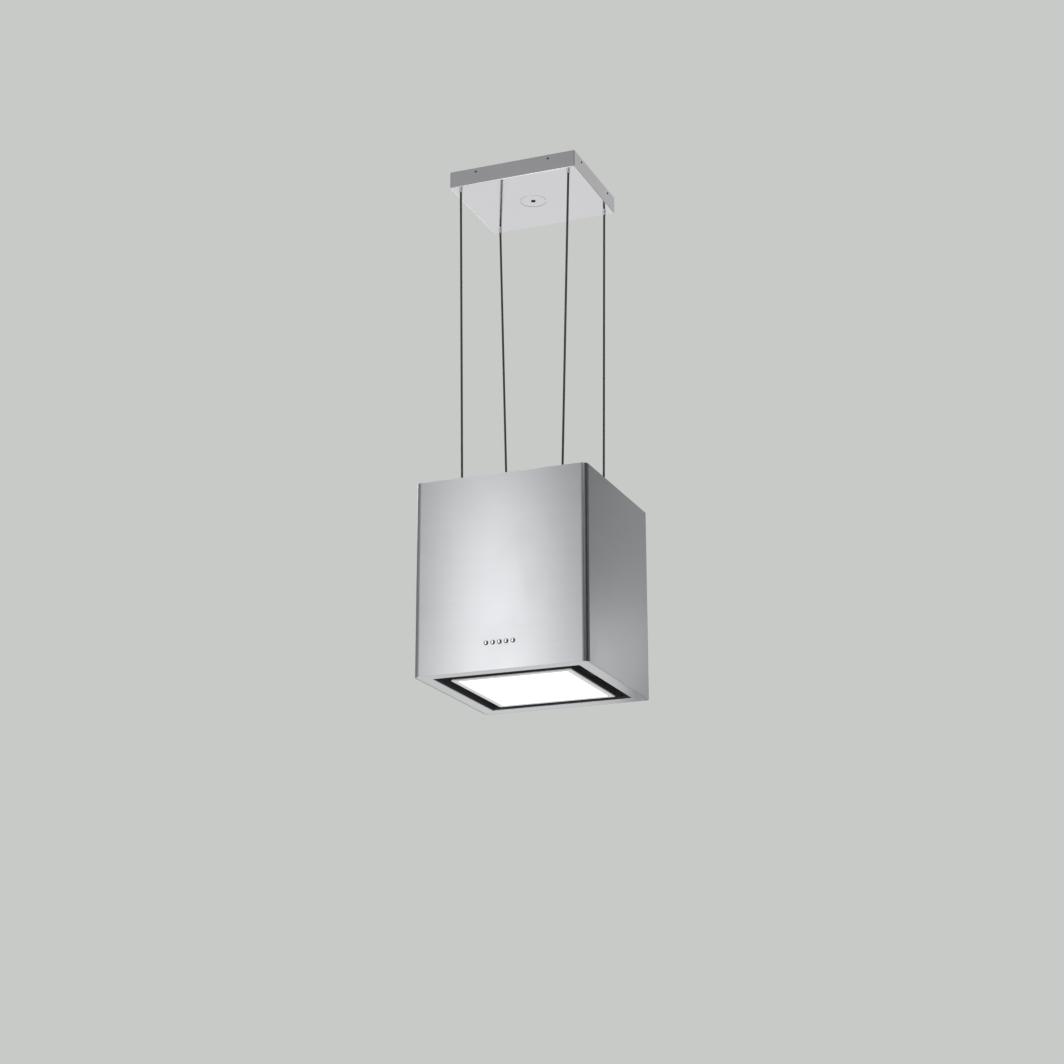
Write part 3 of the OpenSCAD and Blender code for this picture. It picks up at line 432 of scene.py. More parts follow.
def folded(bm, width, depth, radius, profile, steps=10):
    """Sheet folded round a rectangle: a closed section of (inset, z) points swept round it."""
    loft(bm, [rounded_loop(width - 2 * inset, depth - 2 * inset, radius - inset, z, steps)
              for inset, z in profile], closed=True)


def arc(centre, radius, start, end, steps=5):
    """Points on an arc of a section, by angles in degrees."""
    return [(centre[0] + radius * math.cos(math.radians(start + (end - start) * k / steps)),
             centre[1] + radius * math.sin(math.radians(start + (end - start) * k / steps)))
            for k in range(steps + 1)]


def block(bm, low, high, place=Matrix.Identity(4)):
    """Box between two corners, in the coordinates of the place."""
    low, high = Vector(low), Vector(high)
    stretch = Matrix.Translation((low + high) / 2) @ Matrix.Diagonal((*(high - low), 1))
    bmesh.ops.create_cube(bm, size=1, matrix=place @ stretch)


def new_object(name, bm):
    """Turns finished mesh work into an object in the scene."""
    bmesh.ops.recalc_face_normals(bm, faces=bm.faces)
    mesh = bpy.data.meshes.new(name)
    bm.to_mesh(mesh)
    bm.free()
    obj = bpy.data.objects.new(name, mesh)
    bpy.context.scene.collection.objects.link(obj)
    return obj


def cut(obj, cutter):
    """Takes the cutter's shape out of the object for good."""
    tool = new_object("cutter", cutter)
    modifier = obj.modifiers.new("cut", "BOOLEAN")
    modifier.object = tool
    modifier.solver = "EXACT"
    result = bpy.data.meshes.new_from_object(obj.evaluated_get(bpy.context.evaluated_depsgraph_get()))
    obj.modifiers.remove(modifier)
    obj.data = result
    bpy.data.objects.remove(tool)


def piece(obj, look, node, edge=0.0, sharp=35):
    """Puts an object in a CAD node's place, with a finish, on that node's body.

    Edges sharper than that many degrees are rounded by edge metres, or stay sharp if edge is 0.
    """
    obj.data.materials.clear()
    obj.data.materials.append(finish[look])
    obj.data.shade_smooth()
    if edge:
        bevel = obj.modifiers.new("edges", "BEVEL")
        bevel.width = edge
        bevel.segments = 2
        bevel.limit_method = "ANGLE"
        bevel.angle_limit = math.radians(sharp)
    else:
        obj.data.set_sharp_from_angle(angle=math.radians(sharp))
    normals = obj.modifiers.new("normals", "WEIGHTED_NORMAL")
    normals.keep_sharp = True
    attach(obj, BODY_OF[node])
    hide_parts(node)
    return obj


def islands(node):
    """The points of each separate solid of a CAD node."""
    bm = bmesh.new()
    bm.from_mesh(NODES[node].data)
    bmesh.ops.remove_doubles(bm, verts=bm.verts, dist=1e-6)
    left, found = set(bm.verts), []
    while left:
        stack, points = [left.pop()], []
        while stack:
            vert = stack.pop()
            points.append(vert.co.copy())
            for edge in vert.link_edges:
                other = edge.other_vert(vert)
                if other in left:
                    left.remove(other)
                    stack.append(other)
        found.append(points)
    bm.free()
    return sorted(found, key=lambda points: tuple(round(c, 4) for c in middle(points)))


def corners_of(points):
    """Lowest and highest corner of some points."""
    return (Vector([min(p[i] for p in points) for i in range(3)]),
            Vector([max(p[i] for p in points) for i in range(3)]))


def middle(points):
    """Centre of the box round some points."""
    low, high = corners_of(points)
    return (low + high) / 2


def along(origin, direction):
    """A place whose +Z points in that direction."""
    return Matrix.Translation(origin) @ Vector(direction).to_track_quat("Z", "Y").to_matrix().to_4x4()


# ---------------------------------------------------------------- the body

SHELL_LOW, SHELL_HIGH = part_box("outer_shell")
SHELL_SIZE = SHELL_HIGH - SHELL_LOW
BUTTONS = [f"button_{i}" for i in range(1, 6)]


def make_shell():
    """Wrap-around shell with rounded edges, five button holes and a closed seam at the back."""
    foot, head = SHELL_LOW.z, SHELL_HIGH.z
    bm = bmesh.new()
    section = [(0, foot), (0, head), (SHEET, head), (SHEET, foot)]
    folded(bm, SHELL_SIZE.x, SHELL_SIZE.y, CORNER_R, section, 14)
    shell = new_object("hood_shell", bm)
    holes = bmesh.new()
    hole_r = 5 * MM
    for name in BUTTONS:
        low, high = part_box(name)
        centre = (low + high) / 2
        outside = (centre.x, SHELL_LOW.y - MM, centre.z)
        turned(holes, [(hole_r, 0), (hole_r, 4 * MM)], along(outside, (0, 1, 0)))
    seam_half, seam_depth = 0.25 * MM, 0.5 * MM
    block(holes, (-seam_half, SHELL_HIGH.y - seam_depth, foot - MM),
          (seam_half, SHELL_HIGH.y + MM, head + MM))
    cut(shell, holes)
    piece(shell, "brushed_steel", "outer_shell", edge=EDGE)


def make_rim():
    """Rim round the suction slot, folded up at both edges with small bends."""
    low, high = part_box("rim_frame")
    seam = 0.35 * MM
    size = high - low - 2 * Vector((seam, seam, 0))
    half_opening = 164 * MM
    reach = size.x / 2 - half_opening
    bend, z = 1.2 * MM, low.z
    outer_h, inner_h = 12 * MM, size.z
    section = [(0, z + outer_h - EDGE), *arc((bend, z + bend), bend, 180, 270),
               *arc((reach - bend, z + bend), bend, 270, 360), (reach, z + inner_h - EDGE),
               (reach - EDGE, z + inner_h), (reach - SHEET + EDGE, z + inner_h),
               (reach - SHEET, z + inner_h - EDGE), (reach - SHEET, z + SHEET), (SHEET, z + SHEET),
               (SHEET, z + outer_h - EDGE), (SHEET - EDGE, z + outer_h), (EDGE, z + outer_h)]
    bm = bmesh.new()
    folded(bm, size.x, size.y, INSIDE_R, section)
    piece(new_object("suction_rim", bm), "rim_steel", "rim_frame")


def make_top_panel():
    """Flat top with its holes for the grille, the ropes, the cable and the screws."""
    low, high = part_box("top_panel")
    size = high - low
    bm = bmesh.new()
    loft(bm, [rounded_loop(size.x, size.y, INSIDE_R, z) for z in (low.z, high.z)])
    panel = new_object("top_cover", bm)
    holes = bmesh.new()
    outlet_x, outlet_y = 123 * MM, 93 * MM
    block(holes, (-outlet_x, -outlet_y, low.z - MM), (outlet_x, outlet_y, high.z + MM))
    terminal_hole_r, screw_hole_r, gland_hole_r = 5 * MM, 1.6 * MM, 8.2 * MM
    screws = [middle(points) for points in islands("m3_screws")]
    drills = [(middle(points), terminal_hole_r) for points in islands("rope_terminals")]
    drills += [(centre, screw_hole_r) for centre in screws if abs(centre.z - high.z) < 6 * MM]
    gland_low, gland_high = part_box("cable_gland")
    drills.append(((gland_low + gland_high) / 2, gland_hole_r))
    for centre, radius in drills:
        turned(holes, [(radius, low.z - MM), (radius, high.z + MM)],
               Matrix.Translation((centre.x, centre.y, 0)), 32)
    cut(panel, holes)
    piece(panel, "rim_steel", "top_panel", edge=EDGE)


def make_grille():
    """Outlet grille: a flat frame, slender bars with round upper edges, and three cross bars."""
    low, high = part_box("outlet_grille")
    size = high - low
    border, plate, bars = 13 * MM, 1.5 * MM, 15
    bm = bmesh.new()
    section = [(0, high.z - plate), (0, high.z - EDGE), (EDGE, high.z), (border - EDGE, high.z),
               (border, high.z - EDGE), (border, high.z - plate)]
    folded(bm, size.x, size.y, 3 * MM, section, 6)
    open_x, open_y = size.x / 2 - border, size.y / 2 - border
    half, overlap = 0.9 * MM, 0.6 * MM
    reach_x, reach_y = open_x + overlap, open_y + overlap
    outline = [(half, low.z + EDGE), *arc((0, high.z - half), half, 0, 180, 6), (-half, low.z + EDGE),
               (-half + EDGE, low.z), (half - EDGE, low.z)]
    pitch = 2 * open_y / (bars + 1)
    for i in range(bars):
        y = -open_y + (i + 1) * pitch
        loft(bm, [[Vector((x, y + a, z)) for a, z in outline] for x in (-reach_x, reach_x)])
    cross_x, cross_foot, cross_head = 60 * MM, high.z - 6.5 * MM, high.z - 2 * MM
    for x in (-cross_x, 0, cross_x):
        block(bm, (x - half, -reach_y, cross_foot), (x + half, reach_y, cross_head))
    piece(new_object("outlet_bars", bm), "satin_steel", "outlet_grille")


def make_buttons():
    """Buttons: a slightly domed cap, a rolled shoulder, a skirt, a collar and a stem."""
    r, dome, roll = 4.6 * MM, 0.5 * MM, 1.1 * MM
    collar_r, collar_at, collar_end = 5.6 * MM, 9 * MM, 10.5 * MM
    stem_r, stem_edge = 2.2 * MM, 0.3 * MM
    ball = (r * r + dome * dome) / (2 * dome)
    cap_angle = math.asin((r - roll) / ball)
    steps = 10
    cap = [(ball * math.sin(cap_angle * k / steps), ball * (1 - math.cos(cap_angle * k / steps)))
           for k in range(1, steps + 1)]
    cap_depth = cap[-1][1]
    for name in BUTTONS:
        low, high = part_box(name)
        centre = (low + high) / 2
        length = high.y - low.y
        profile = [*cap, (r - roll * 0.3, cap_depth + roll * 0.45), (r, cap_depth + roll * 1.2),
                   (r, collar_at), (collar_r, collar_at), (collar_r, collar_end), (stem_r, collar_end),
                   (stem_r, length - stem_edge), (stem_r - stem_edge, length)]
        bm = bmesh.new()
        turned(bm, profile, along((centre.x, low.y, centre.z), (0, 1, 0)))
        piece(new_object(f"push_{name}", bm), "button_chrome", name)


def make_springs():
    """Coil spring round each button's stem, between its collar and the switch board."""
    low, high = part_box("button_springs")
    wire_r, turns, steps, sides = 0.3 * MM, 4, 24, 8
    length = high.y - low.y
    coil_r = (high.z - low.z) / 2 - wire_r
    for name in BUTTONS:
        button_low, button_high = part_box(name)
        axis = (button_low + button_high) / 2
        rings = []
        for k in range(turns * steps + 1):
            turn = 2 * math.pi * k / steps
            y = low.y + wire_r + (length - 2 * wire_r) * k / (turns * steps)
            outward = Vector((math.cos(turn), 0, math.sin(turn)))
            centre = Vector((axis.x, y, axis.z)) + outward * coil_r
            rings.append([centre + wire_r * (outward * math.cos(a) + Vector((0, 1, 0)) * math.sin(a))
                          for a in (2 * math.pi * i / sides for i in range(sides))])
        bm = bmesh.new()
        loft(bm, rings)
        spring = piece(new_object(f"return_spring_{name[-1]}", bm), "bright_steel", "button_springs")
        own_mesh(spring)


# Height of a small screw's head
HEAD_H = 1.2 * MM


def screw(bm, place, length):
    """Pan-head screw: domed head above the place, hexagon recess, shank below."""
    r, h, socket, shank_r = 2.3 * MM, HEAD_H, 0.95 * MM, 1.4 * MM
    turned(bm, [(shank_r - 0.3 * MM, -length), (shank_r, -length + 0.5 * MM), (shank_r, 0), (r, 0),
                (r, 0.35 * h), (0.93 * r, 0.68 * h), (0.75 * r, 0.9 * h), (0.5 * r, h),
                (socket, h, 6), (socket, 0.45 * h, 6), (0.3 * socket, 0.4 * h, 6)], place, 24)


def make_screws():
    """All small screws, each where the CAD model has one."""
    bm = bmesh.new()
    for points in islands("m3_screws"):
        low, high = corners_of(points)
        size = high - low
        axis = max(range(3), key=lambda i: size[i])
        centre = (low + high) / 2
        past_shank = 2.1 * MM
        head = [p for p in points if max(abs(p[i] - centre[i]) for i in range(3) if i != axis) > past_shank]
        side = 1 if middle(head)[axis] > centre[axis] else -1
        direction = Vector([side if i == axis else 0 for i in range(3)])
        seat = centre + direction * (size[axis] / 2 - HEAD_H)
        screw(bm, along(seat, direction), size[axis] - HEAD_H)
    piece(new_object("small_screws", bm), "screw_steel", "m3_screws")


# ----------------------------------------------------------- ceiling plate

def make_tray():
    """Folded ceiling plate with bent edges, open corner joints and drilled holes."""
    low, high = TRAY_LOW, TRAY_HIGH
    size = high - low
    bend = 1.6 * MM
    outside = [(0, high.z), *arc((bend, low.z + bend), bend, 180, 270)]
    inside = [(SHEET, high.z + MM), *arc((bend, low.z + bend), bend - SHEET, 180, 270)]
    bm = bmesh.new()
    loft(bm, [rounded_loop(size.x - 2 * i, size.y - 2 * i, 1.5 * MM, z, 4) for i, z in outside])
    tray = new_object("ceiling_plate", bm)
    hollow = bmesh.new()
    loft(hollow, [rounded_loop(size.x - 2 * i, size.y - 2 * i, 0.5 * MM, z, 4) for i, z in inside])
    cut(tray, hollow)
    holes = bmesh.new()
    under, over = low.z - MM, low.z + 4 * MM
    rope_hole_r, cap_hole_r = 4 * MM, 30.1 * MM
    for points in islands("rope_bushes"):
        centre = middle(points)
        place = Matrix.Translation((centre.x, centre.y, 0))
        turned(holes, [(rope_hole_r, under), (rope_hole_r, over)], place)
    turned(holes, [(cap_hole_r, under), (cap_hole_r, over)], count=96)
    slit_half, slit_length, slit_foot = 0.3 * MM, 4 * MM, low.z + 2.2 * MM
    for side_x in (-1, 1):
        for side_y in (-1, 1):
            corner = Matrix.Translation((side_x * size.x / 2, side_y * size.y / 2, 0))
            turn = Matrix.Rotation(math.atan2(side_y, side_x), 4, "Z")
            block(holes, (-slit_length, -slit_half, slit_foot), (2 * MM, slit_half, high.z + MM),
                  corner @ turn)
    cut(tray, holes)
    piece(tray, "plate_steel", "ceiling_tray", edge=0.2 * MM)


def make_cap():
    """Round cap in the plate, with a rolled edge, a flange behind the plate and a cable hole."""
    low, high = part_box("outlet_cap")
    hole, r, flange = 4.7 * MM, 29.1 * MM, 34 * MM
    z, top = low.z, high.z
    profile = [(hole, z + 0.4 * MM), (hole + 0.4 * MM, z), (r - 0.6 * MM, z), (r - 0.15 * MM, z + 0.2 * MM),
               (r, z + 0.6 * MM), (r, top - SHEET), (flange, top - SHEET), (flange, top), (hole, top)]
    bm = bmesh.new()
    turned(bm, profile, count=96, closed=True)
    piece(new_object("cable_cap", bm), "plate_steel", "outlet_cap")


def make_bushes():
    """Turned collar round each rope under the ceiling plate, with a groove and a flange."""
    bore, flange_r, flange_at = 2.9 * MM, 5.5 * MM, 8.8 * MM
    bm = bmesh.new()
    for points in islands("rope_bushes"):
        low, high = corners_of(points)
        centre = (low + high) / 2
        length = high.z - low.z
        profile = [(bore, 0.3 * MM), (3.0 * MM, 0), (3.3 * MM, 0.1 * MM), (3.6 * MM, 0.7 * MM),
                   (3.7 * MM, 3 * MM), (3.5 * MM, 3.3 * MM), (3.7 * MM, 3.6 * MM), (3.75 * MM, 7.4 * MM),
                   (3.8 * MM, flange_at), (flange_r, flange_at), (flange_r, length), (bore, length)]
        turned(bm, profile, Matrix.Translation((centre.x, centre.y, low.z)), 32, closed=True)
    piece(new_object("rope_collars", bm), "bright_steel", "rope_bushes")


# ---------------------------------------------------------------- ropes

ROPES = ("rope_front_left", "rope_front_right", "rope_rear_left", "rope_rear_right")
ROPE_R = 2.5 * MM
# Number of outer wires, and the length of rope in which they wind round once
WIRES = 12
LAY = 46 * MM


def rope_ends(node):
    """Centres of a rope's two end faces."""
    points = islands(node)[0]
    half = middle(points).z
    return (middle([p for p in points if p.z < half]), middle([p for p in points if p.z > half]))


def wire_outline(steps):
    """Section of a rope: (angle, reach) points over the crests of its wires."""
    half = math.pi / WIRES
    wire_r = ROPE_R * math.sin(half) / (1 + math.sin(half))
    lay_r = ROPE_R - wire_r
    outline = []
    for k in range(WIRES * steps):
        phi = half * (2 * (k % steps) / steps - 1)
        crest = math.sqrt(max(wire_r ** 2 - (lay_r * math.sin(phi)) ** 2, 0))
        outline.append((2 * half * (k // steps) + phi, lay_r * math.cos(phi) + crest))
    return outline


def make_ropes():
    """Suspension ropes: twelve thick wires laid round a core. Their UV map follows the wires."""
    outline = wire_outline(6)
    count = len(outline)
    for node in ROPES:
        foot, head = rope_ends(node)
        length = (head - foot).length
        rings = int(length / LAY * 14)
        place = along(foot, head - foot)
        loops = []
        for ring in range(rings + 1):
            z = length * ring / rings
            twist = 2 * math.pi * z / LAY
            loops.append([place @ Vector((r * math.cos(a + twist), r * math.sin(a + twist), z))
                          for a, r in outline])
        bm = bmesh.new()
        loft(bm, loops)
        lay = bm.loops.layers.uv.new("lay")
        bm.verts.index_update()
        for face in bm.faces:
            wraps = {vert.index % count for vert in face.verts} == {0, count - 1}
            for loop in face.loops:
                ring, k = divmod(loop.vert.index, count)
                if wraps and k == 0:
                    k = count
                z = length * ring / rings
                loop[lay].uv = (WIRES * k / count, z / LAY)
        piece(new_object(f"stranded_{node}", bm), "rope_steel", node)


def make_terminals():
    """Threaded terminal at the foot of each rope: stud, washer and swaged sleeve."""
    stud_r, pitch = 4 * MM, 1.25 * MM
    thread = [(3.2 * MM, -30 * MM)]
    for k in range(int(29 * MM / pitch)):
        z = -29.5 * MM + k * pitch
        thread += [(stud_r - 0.65 * MM, z), (stud_r, z + pitch / 2)]
    washer_r = 8 * MM
    washer = [(stud_r - 0.4 * MM, 0.5 * MM), (washer_r - 0.4 * MM, 0.6 * MM), (washer_r, 0.9 * MM),
              (washer_r, 1.7 * MM), (washer_r - 0.3 * MM, 2 * MM)]
    bore, sleeve_r, sleeve_h = 2.55 * MM, 5 * MM, 14 * MM
    sleeve = [(sleeve_r, 2 * MM), (sleeve_r, 9 * MM), (4.9 * MM, 9.6 * MM), (4 * MM, 13.6 * MM),
              (3.7 * MM, sleeve_h), (bore + 0.2 * MM, sleeve_h), (bore, sleeve_h - 0.2 * MM),
              (bore, 2.5 * MM)]
    bm = bmesh.new()
    for node in ROPES:
        foot, head = rope_ends(node)
        direction = (head - foot).normalized()
        base = foot - direction * (foot.z - SHELL_HIGH.z) / direction.z
        turned(bm, thread + washer + sleeve, along(base, direction), 32)
    piece(new_object("rope_ferrules", bm), "bright_steel", "rope_terminals")


def make_gland():
    """Cable gland on the top: chamfered hexagon, ridged dome nut and lock nut."""
    low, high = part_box("cable_gland")
    centre = (low + high) / 2
    place = Matrix.Translation((centre.x, centre.y, SHELL_HIGH.z))
    hole, thread_r, flat_r, hexagon_r, dome_r = 3.6 * MM, 7.9 * MM, 11 * MM, 12 * MM, 10 * MM
    foot, top = -16 * MM, 14 * MM
    body = [(thread_r, foot), (thread_r, 0.1 * MM), (flat_r, 0.1 * MM), (hexagon_r, 0.6 * MM, 6),
            (hexagon_r, 4.5 * MM, 6), (flat_r, 5 * MM), (dome_r, 5.1 * MM), (dome_r, 9 * MM),
            (9.4 * MM, 11 * MM), (8.2 * MM, 13.2 * MM), (7.5 * MM, top), (4.4 * MM, top),
            (hole, 13.4 * MM), (hole, foot)]
    bm = bmesh.new()
    turned(bm, body, place, 48, closed=True)
    ridges = 16
    for k in range(ridges):
        ridge = Matrix.Rotation(2 * math.pi * k / ridges, 4, "Z")
        block(bm, (9.7 * MM, -0.6 * MM, 5.3 * MM), (dome_r, 0.6 * MM, 8.8 * MM), place @ ridge)
    nut_bore, edge = 8 * MM, 11.4 * MM
    lock_nut = [(nut_bore, -11 * MM), (edge, -11 * MM), (hexagon_r, -10.5 * MM, 6),
                (hexagon_r, -6.5 * MM, 6), (edge, -6 * MM), (nut_bore, -6 * MM)]
    turned(bm, lock_nut, place, 48, closed=True)
    piece(new_object("gland", bm), "black_plastic", "cable_gland")


# ------------------------------------------------------------ light panel

def make_glass():
    """Opal glass with ground edges."""
    low, high = GLASS_LOW, GLASS_HIGH
    size = high - low
    ground = 0.6 * MM
    rows = [(ground, low.z), (0.15 * MM, low.z + 0.2 * MM), (0, low.z + ground), (0, high.z - ground),
            (ground, high.z)]
    bm = bmesh.new()
    loft(bm, [rounded_loop(size.x - 2 * i, size.y - 2 * i, 2 * MM, z, 6) for i, z in rows])
    piece(new_object("light_glass", bm), "opal_glass", "panel_glass")


def make_panel_frame():
    """Black frame of the light panel, with its lower edge turned in."""
    low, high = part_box("panel_frame")
    size = high - low
    flange, wall, bend = 12 * MM, 1.5 * MM, 0.8 * MM
    section = [(0, high.z), *arc((bend, low.z + bend), bend, 180, 270), (flange, low.z),
               (flange, low.z + SHEET), (wall, low.z + SHEET), (wall, high.z)]
    bm = bmesh.new()
    folded(bm, size.x, size.y, 2 * MM, section, 6)
    piece(new_object("panel_rim", bm), "black_paint", "panel_frame", edge=0.15 * MM)


def make_panel_back():
    """Back plate of the light panel, with two magnet strikes and three pressed ribs."""
    low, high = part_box("panel_back")
    size = high - low
    strike_h, strike_x, strike_y = 1 * MM, 80 * MM, -118 * MM
    plate_z = high.z - strike_h
    bm = bmesh.new()
    loft(bm, [rounded_loop(size.x, size.y, 2 * MM, z, 6) for z in (low.z, plate_z)])
    for x in (-strike_x, strike_x):
        loft(bm, [moved(rounded_loop(24 * MM, 16 * MM, 1.5 * MM, z, 4), x, strike_y)
                  for z in (high.z - 1.2 * strike_h, high.z)])
    rib_l, rib_r, rib_h, rib_pitch = 170 * MM, 6 * MM, 0.8 * MM, 60 * MM
    slope = ((0, -0.2 * MM), (0.4 * MM, 0), (1.6 * MM, 0.5 * rib_h), (3.2 * MM, rib_h))
    for y in (-rib_pitch, 0, rib_pitch):
        loft(bm, [moved(rounded_loop(rib_l - 2 * i, 2 * (rib_r - i), rib_r - i, plate_z + h, 8), 0, y)
                  for i, h in slope])
    piece(new_object("panel_cover", bm), "zinc_steel", "panel_back", edge=0.2 * MM)


# ---------------------------------------------------------- grease filter

def make_filter_frame():
    """Channel of folded aluminium round the mesh, with the latch guides under its front rail."""
    low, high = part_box("filter_frame")
    half, top = high.x, high.z
    base_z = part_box("filter_mesh")[0].z - 1.5 * MM
    rail, bend = 14 * MM, 1.6 * MM
    inner = bend - SHEET
    section = [*arc((bend, base_z + bend), bend, 180, 270), (rail - EDGE, base_z),
               (rail, base_z + 0.5 * SHEET), (rail - EDGE, base_z + SHEET),
               *arc((bend, base_z + bend), inner, 270, 180), *arc((bend, top - bend), inner, 180, 90),
               (rail - EDGE, top - SHEET), (rail, top - 0.5 * SHEET), (rail - EDGE, top),
               *arc((bend, top - bend), bend, 90, 180)]
    bm = bmesh.new()
    folded(bm, 2 * half, 2 * half, 3 * MM, section, 6)
    # Each guide is an upright beside the latch, with a lip under it
    guide_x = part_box("filter_latch")[1].x + 0.4 * MM
    guide_w, guide_l, lip = 3 * MM, 25 * MM, 4 * MM
    front = -half + 8 * MM
    for side in (-1, 1):
        for near, guide_h in ((guide_x, 5.01 * MM), (guide_x - lip, 1.4 * MM)):
            xs = sorted((side * near, side * (guide_x + guide_w)))
            block(bm, (xs[0], front, low.z), (xs[1], front + guide_l, low.z + guide_h))
    piece(new_object("filter_rail", bm), "aluminium", "filter_frame", edge=0.15 * MM, sharp=50)


def make_latch():
    """Sliding latch: a plate with grip ribs, a chamfered tongue and a finger pull."""
    low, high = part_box("filter_latch")
    thick, half_tongue, half_rib, rib_r = 3 * MM, 14 * MM, 16 * MM, 0.8 * MM
    under, over = high.z - thick, high.z
    overlap = 0.2 * MM
    plate_y = low.y + 10 * MM
    bm = bmesh.new()
    block(bm, (low.x, plate_y, under), (high.x, high.y, over))
    loft(bm, [[Vector((x, low.y, under + overlap)), Vector((x, low.y + 2 * MM, over)),
               Vector((x, plate_y + MM, over)), Vector((x, plate_y + MM, under + overlap))]
              for x in (-half_tongue, half_tongue)])
    pull_y = high.y - 0.5 * MM
    pull = [(pull_y - 2.5 * MM, under + overlap), (pull_y - 2.5 * MM, low.z + MM),
            *arc((pull_y - 1.5 * MM, low.z + MM), MM, 180, 360, 6),
            (pull_y, low.z + 2 * MM), (pull_y, under + overlap)]
    loft(bm, [[Vector((x, y, z)) for y, z in pull] for x in (-half_tongue, half_tongue)])
    for k in range(5):
        y = plate_y + (4 + 4 * k) * MM
        rib = [(y + a, under + 0.1 * MM - b) for a, b in arc((0, 0), rib_r, 0, 180, 8)]
        loft(bm, [[Vector((x, a, b)) for a, b in rib] for x in (-half_rib, half_rib)])
    piece(new_object("slide_latch", bm), "black_plastic", "filter_latch", edge=0.25 * MM, sharp=50)


def diamonds(bm, half, z, cell_x, cell_y):
    """Square sheet of diamond faces, whose rows of knots lie high and low in turn."""
    across, up = int(2 * half / cell_x), int(2 * half / cell_y)
    knots = {}

    def knot(i, j):
        """The vertex i half cells along X and j half cells along Y."""
        if (i, j) not in knots:
            lift = 0.5 * MM * (1 if j % 2 else -1)
            knots[i, j] = bm.verts.new((-across * cell_x / 2 + i * cell_x / 2,
                                        -up * cell_y / 2 + j * cell_y / 2, z + lift))
        return knots[i, j]

    for j in range(1, 2 * up):
        for i in range(1 + (j + 1) % 2, 2 * across, 2):
            bm.faces.new((knot(i - 1, j), knot(i, j - 1), knot(i + 1, j), knot(i, j + 1)))


def make_filter_mesh():
    """Two layers of expanded aluminium, the upper one coarser."""
    low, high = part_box("filter_mesh")
    half = high.x - 0.5 * MM
    # Height, the cells' length and width, and thickness of the strands
    layers = ((low.z + 1.2 * MM, 10 * MM, 5 * MM, 0.9 * MM),
              (high.z - 1.5 * MM, 14 * MM, 7 * MM, 1.2 * MM))
    for layer, (z, cell_x, cell_y, thickness) in enumerate(layers, 1):
        bm = bmesh.new()
        diamonds(bm, half, z, cell_x, cell_y)
        sheet = new_object(f"filter_weave_{layer}", bm)
        strands = sheet.modifiers.new("strands", "WIREFRAME")
        strands.thickness = thickness
        strands.use_boundary = True
        strands.use_even_offset = False
        piece(sheet, "aluminium", "filter_mesh")


make_shell()
make_rim()
make_top_panel()
make_grille()
make_buttons()
make_springs()
make_screws()
make_tray()
make_cap()
make_bushes()
make_ropes()
make_terminals()
make_gland()
make_glass()
make_panel_frame()
make_panel_back()
make_filter_frame()
make_filter_mesh()
make_latch()

# Every CAD node that still shows takes the finish of its slot and slightly broken edges
BLUNT = 0.25 * MM
for name, node in NODES.items():
    if node.hide_render:
        continue
    node.material_slots[0].material = finish[SLOT_OF[name]]
    weld = node.modifiers.new("weld", "WELD")
    weld.merge_threshold = 1e-6
    flats = node.modifiers.new("flats", "DECIMATE")
    flats.decimate_type = "DISSOLVE"
    flats.angle_limit = math.radians(0.5)
    edges = node.modifiers.new("edges", "BEVEL")
    edges.width = BLUNT
    edges.segments = 2
    edges.limit_method = "ANGLE"
    edges.angle_limit = math.radians(40)
    normals = node.modifiers.new("normals", "WEIGHTED_NORMAL")
    normals.keep_sharp = True


# ---------------------------------------------------------- floor and light

FLOOR_Z = -6.5
FLOOR_R = 90


def add_floor():
    """Wide pale floor, far below the hood."""
    pale = Finish("pale_floor", (0.66, 0.66, 0.65), 0.7)
    pale.to("Base Color", pale.mix(pale.noise(1.5, 3.0), (0.63, 0.63, 0.62), (0.69, 0.69, 0.68)))
    bm = bmesh.new()
    turned(bm, [(FLOOR_R, FLOOR_Z - 0.02), (FLOOR_R, FLOOR_Z)], count=64)
    floor = new_object("floor", bm)
    floor.data.materials.append(pale.mat)
    floor.visible_glossy = False


def add_light(name, at, target, size, power):
    """Soft rectangular light aimed at a point. The camera doesn't see it."""
    data = bpy.data.lights.new(name, "AREA")
    data.shape = "RECTANGLE"
    data.size, data.size_y = size
    data.energy = power
    light = bpy.data.objects.new(name, data)
    light.matrix_world = along(at, Vector(at) - Vector(target))
    light.visible_camera = False
    bpy.context.scene.collection.objects.link(light)


def add_sun(strength, spread):
    """Even light from straight above, with that spread in degrees."""
    data = bpy.data.lights.new("skylight", "SUN")
    data.energy = strength
    data.angle = math.radians(spread)
    light = bpy.data.objects.new("skylight", data)
    light.visible_camera = False
    bpy.context.scene.collection.objects.link(light)


def add_flag(name, low, high, shade):
    """Card of an even shade, which only reflections see."""
    bm = bmesh.new()
    block(bm, low, high)
    flag = new_object(name, bm)
    flag.data.materials.append(coated(f"{name}_cloth", (shade,) * 3, 0.9))
    flag.visible_camera = flag.visible_diffuse = flag.visible_shadow = False


# Brightness of the studio's upper and lower half by compass angle: 0 is the front, 90 the right
SKY = ((-180, 0.40), (-155, 0.20), (-100, 0.20), (-60, 0.26), (-22, 0.34), (10, 0.27), (45, 0.24),
       (80, 0.50), (100, 0.40), (122, 0.08), (150, 0.09), (162, 0.12), (180, 0.40))
GROUND = ((-180, 0.84), (-155, 0.88), (-100, 0.74), (-45, 0.68), (0, 0.56), (45, 0.46), (90, 0.60),
          (135, 0.42), (160, 0.50), (180, 0.84))
# The lower half turns into the upper between these slopes
HORIZON = (-0.16, 0.14)
BACKDROP = (0.575, 0.590, 0.575, 1)


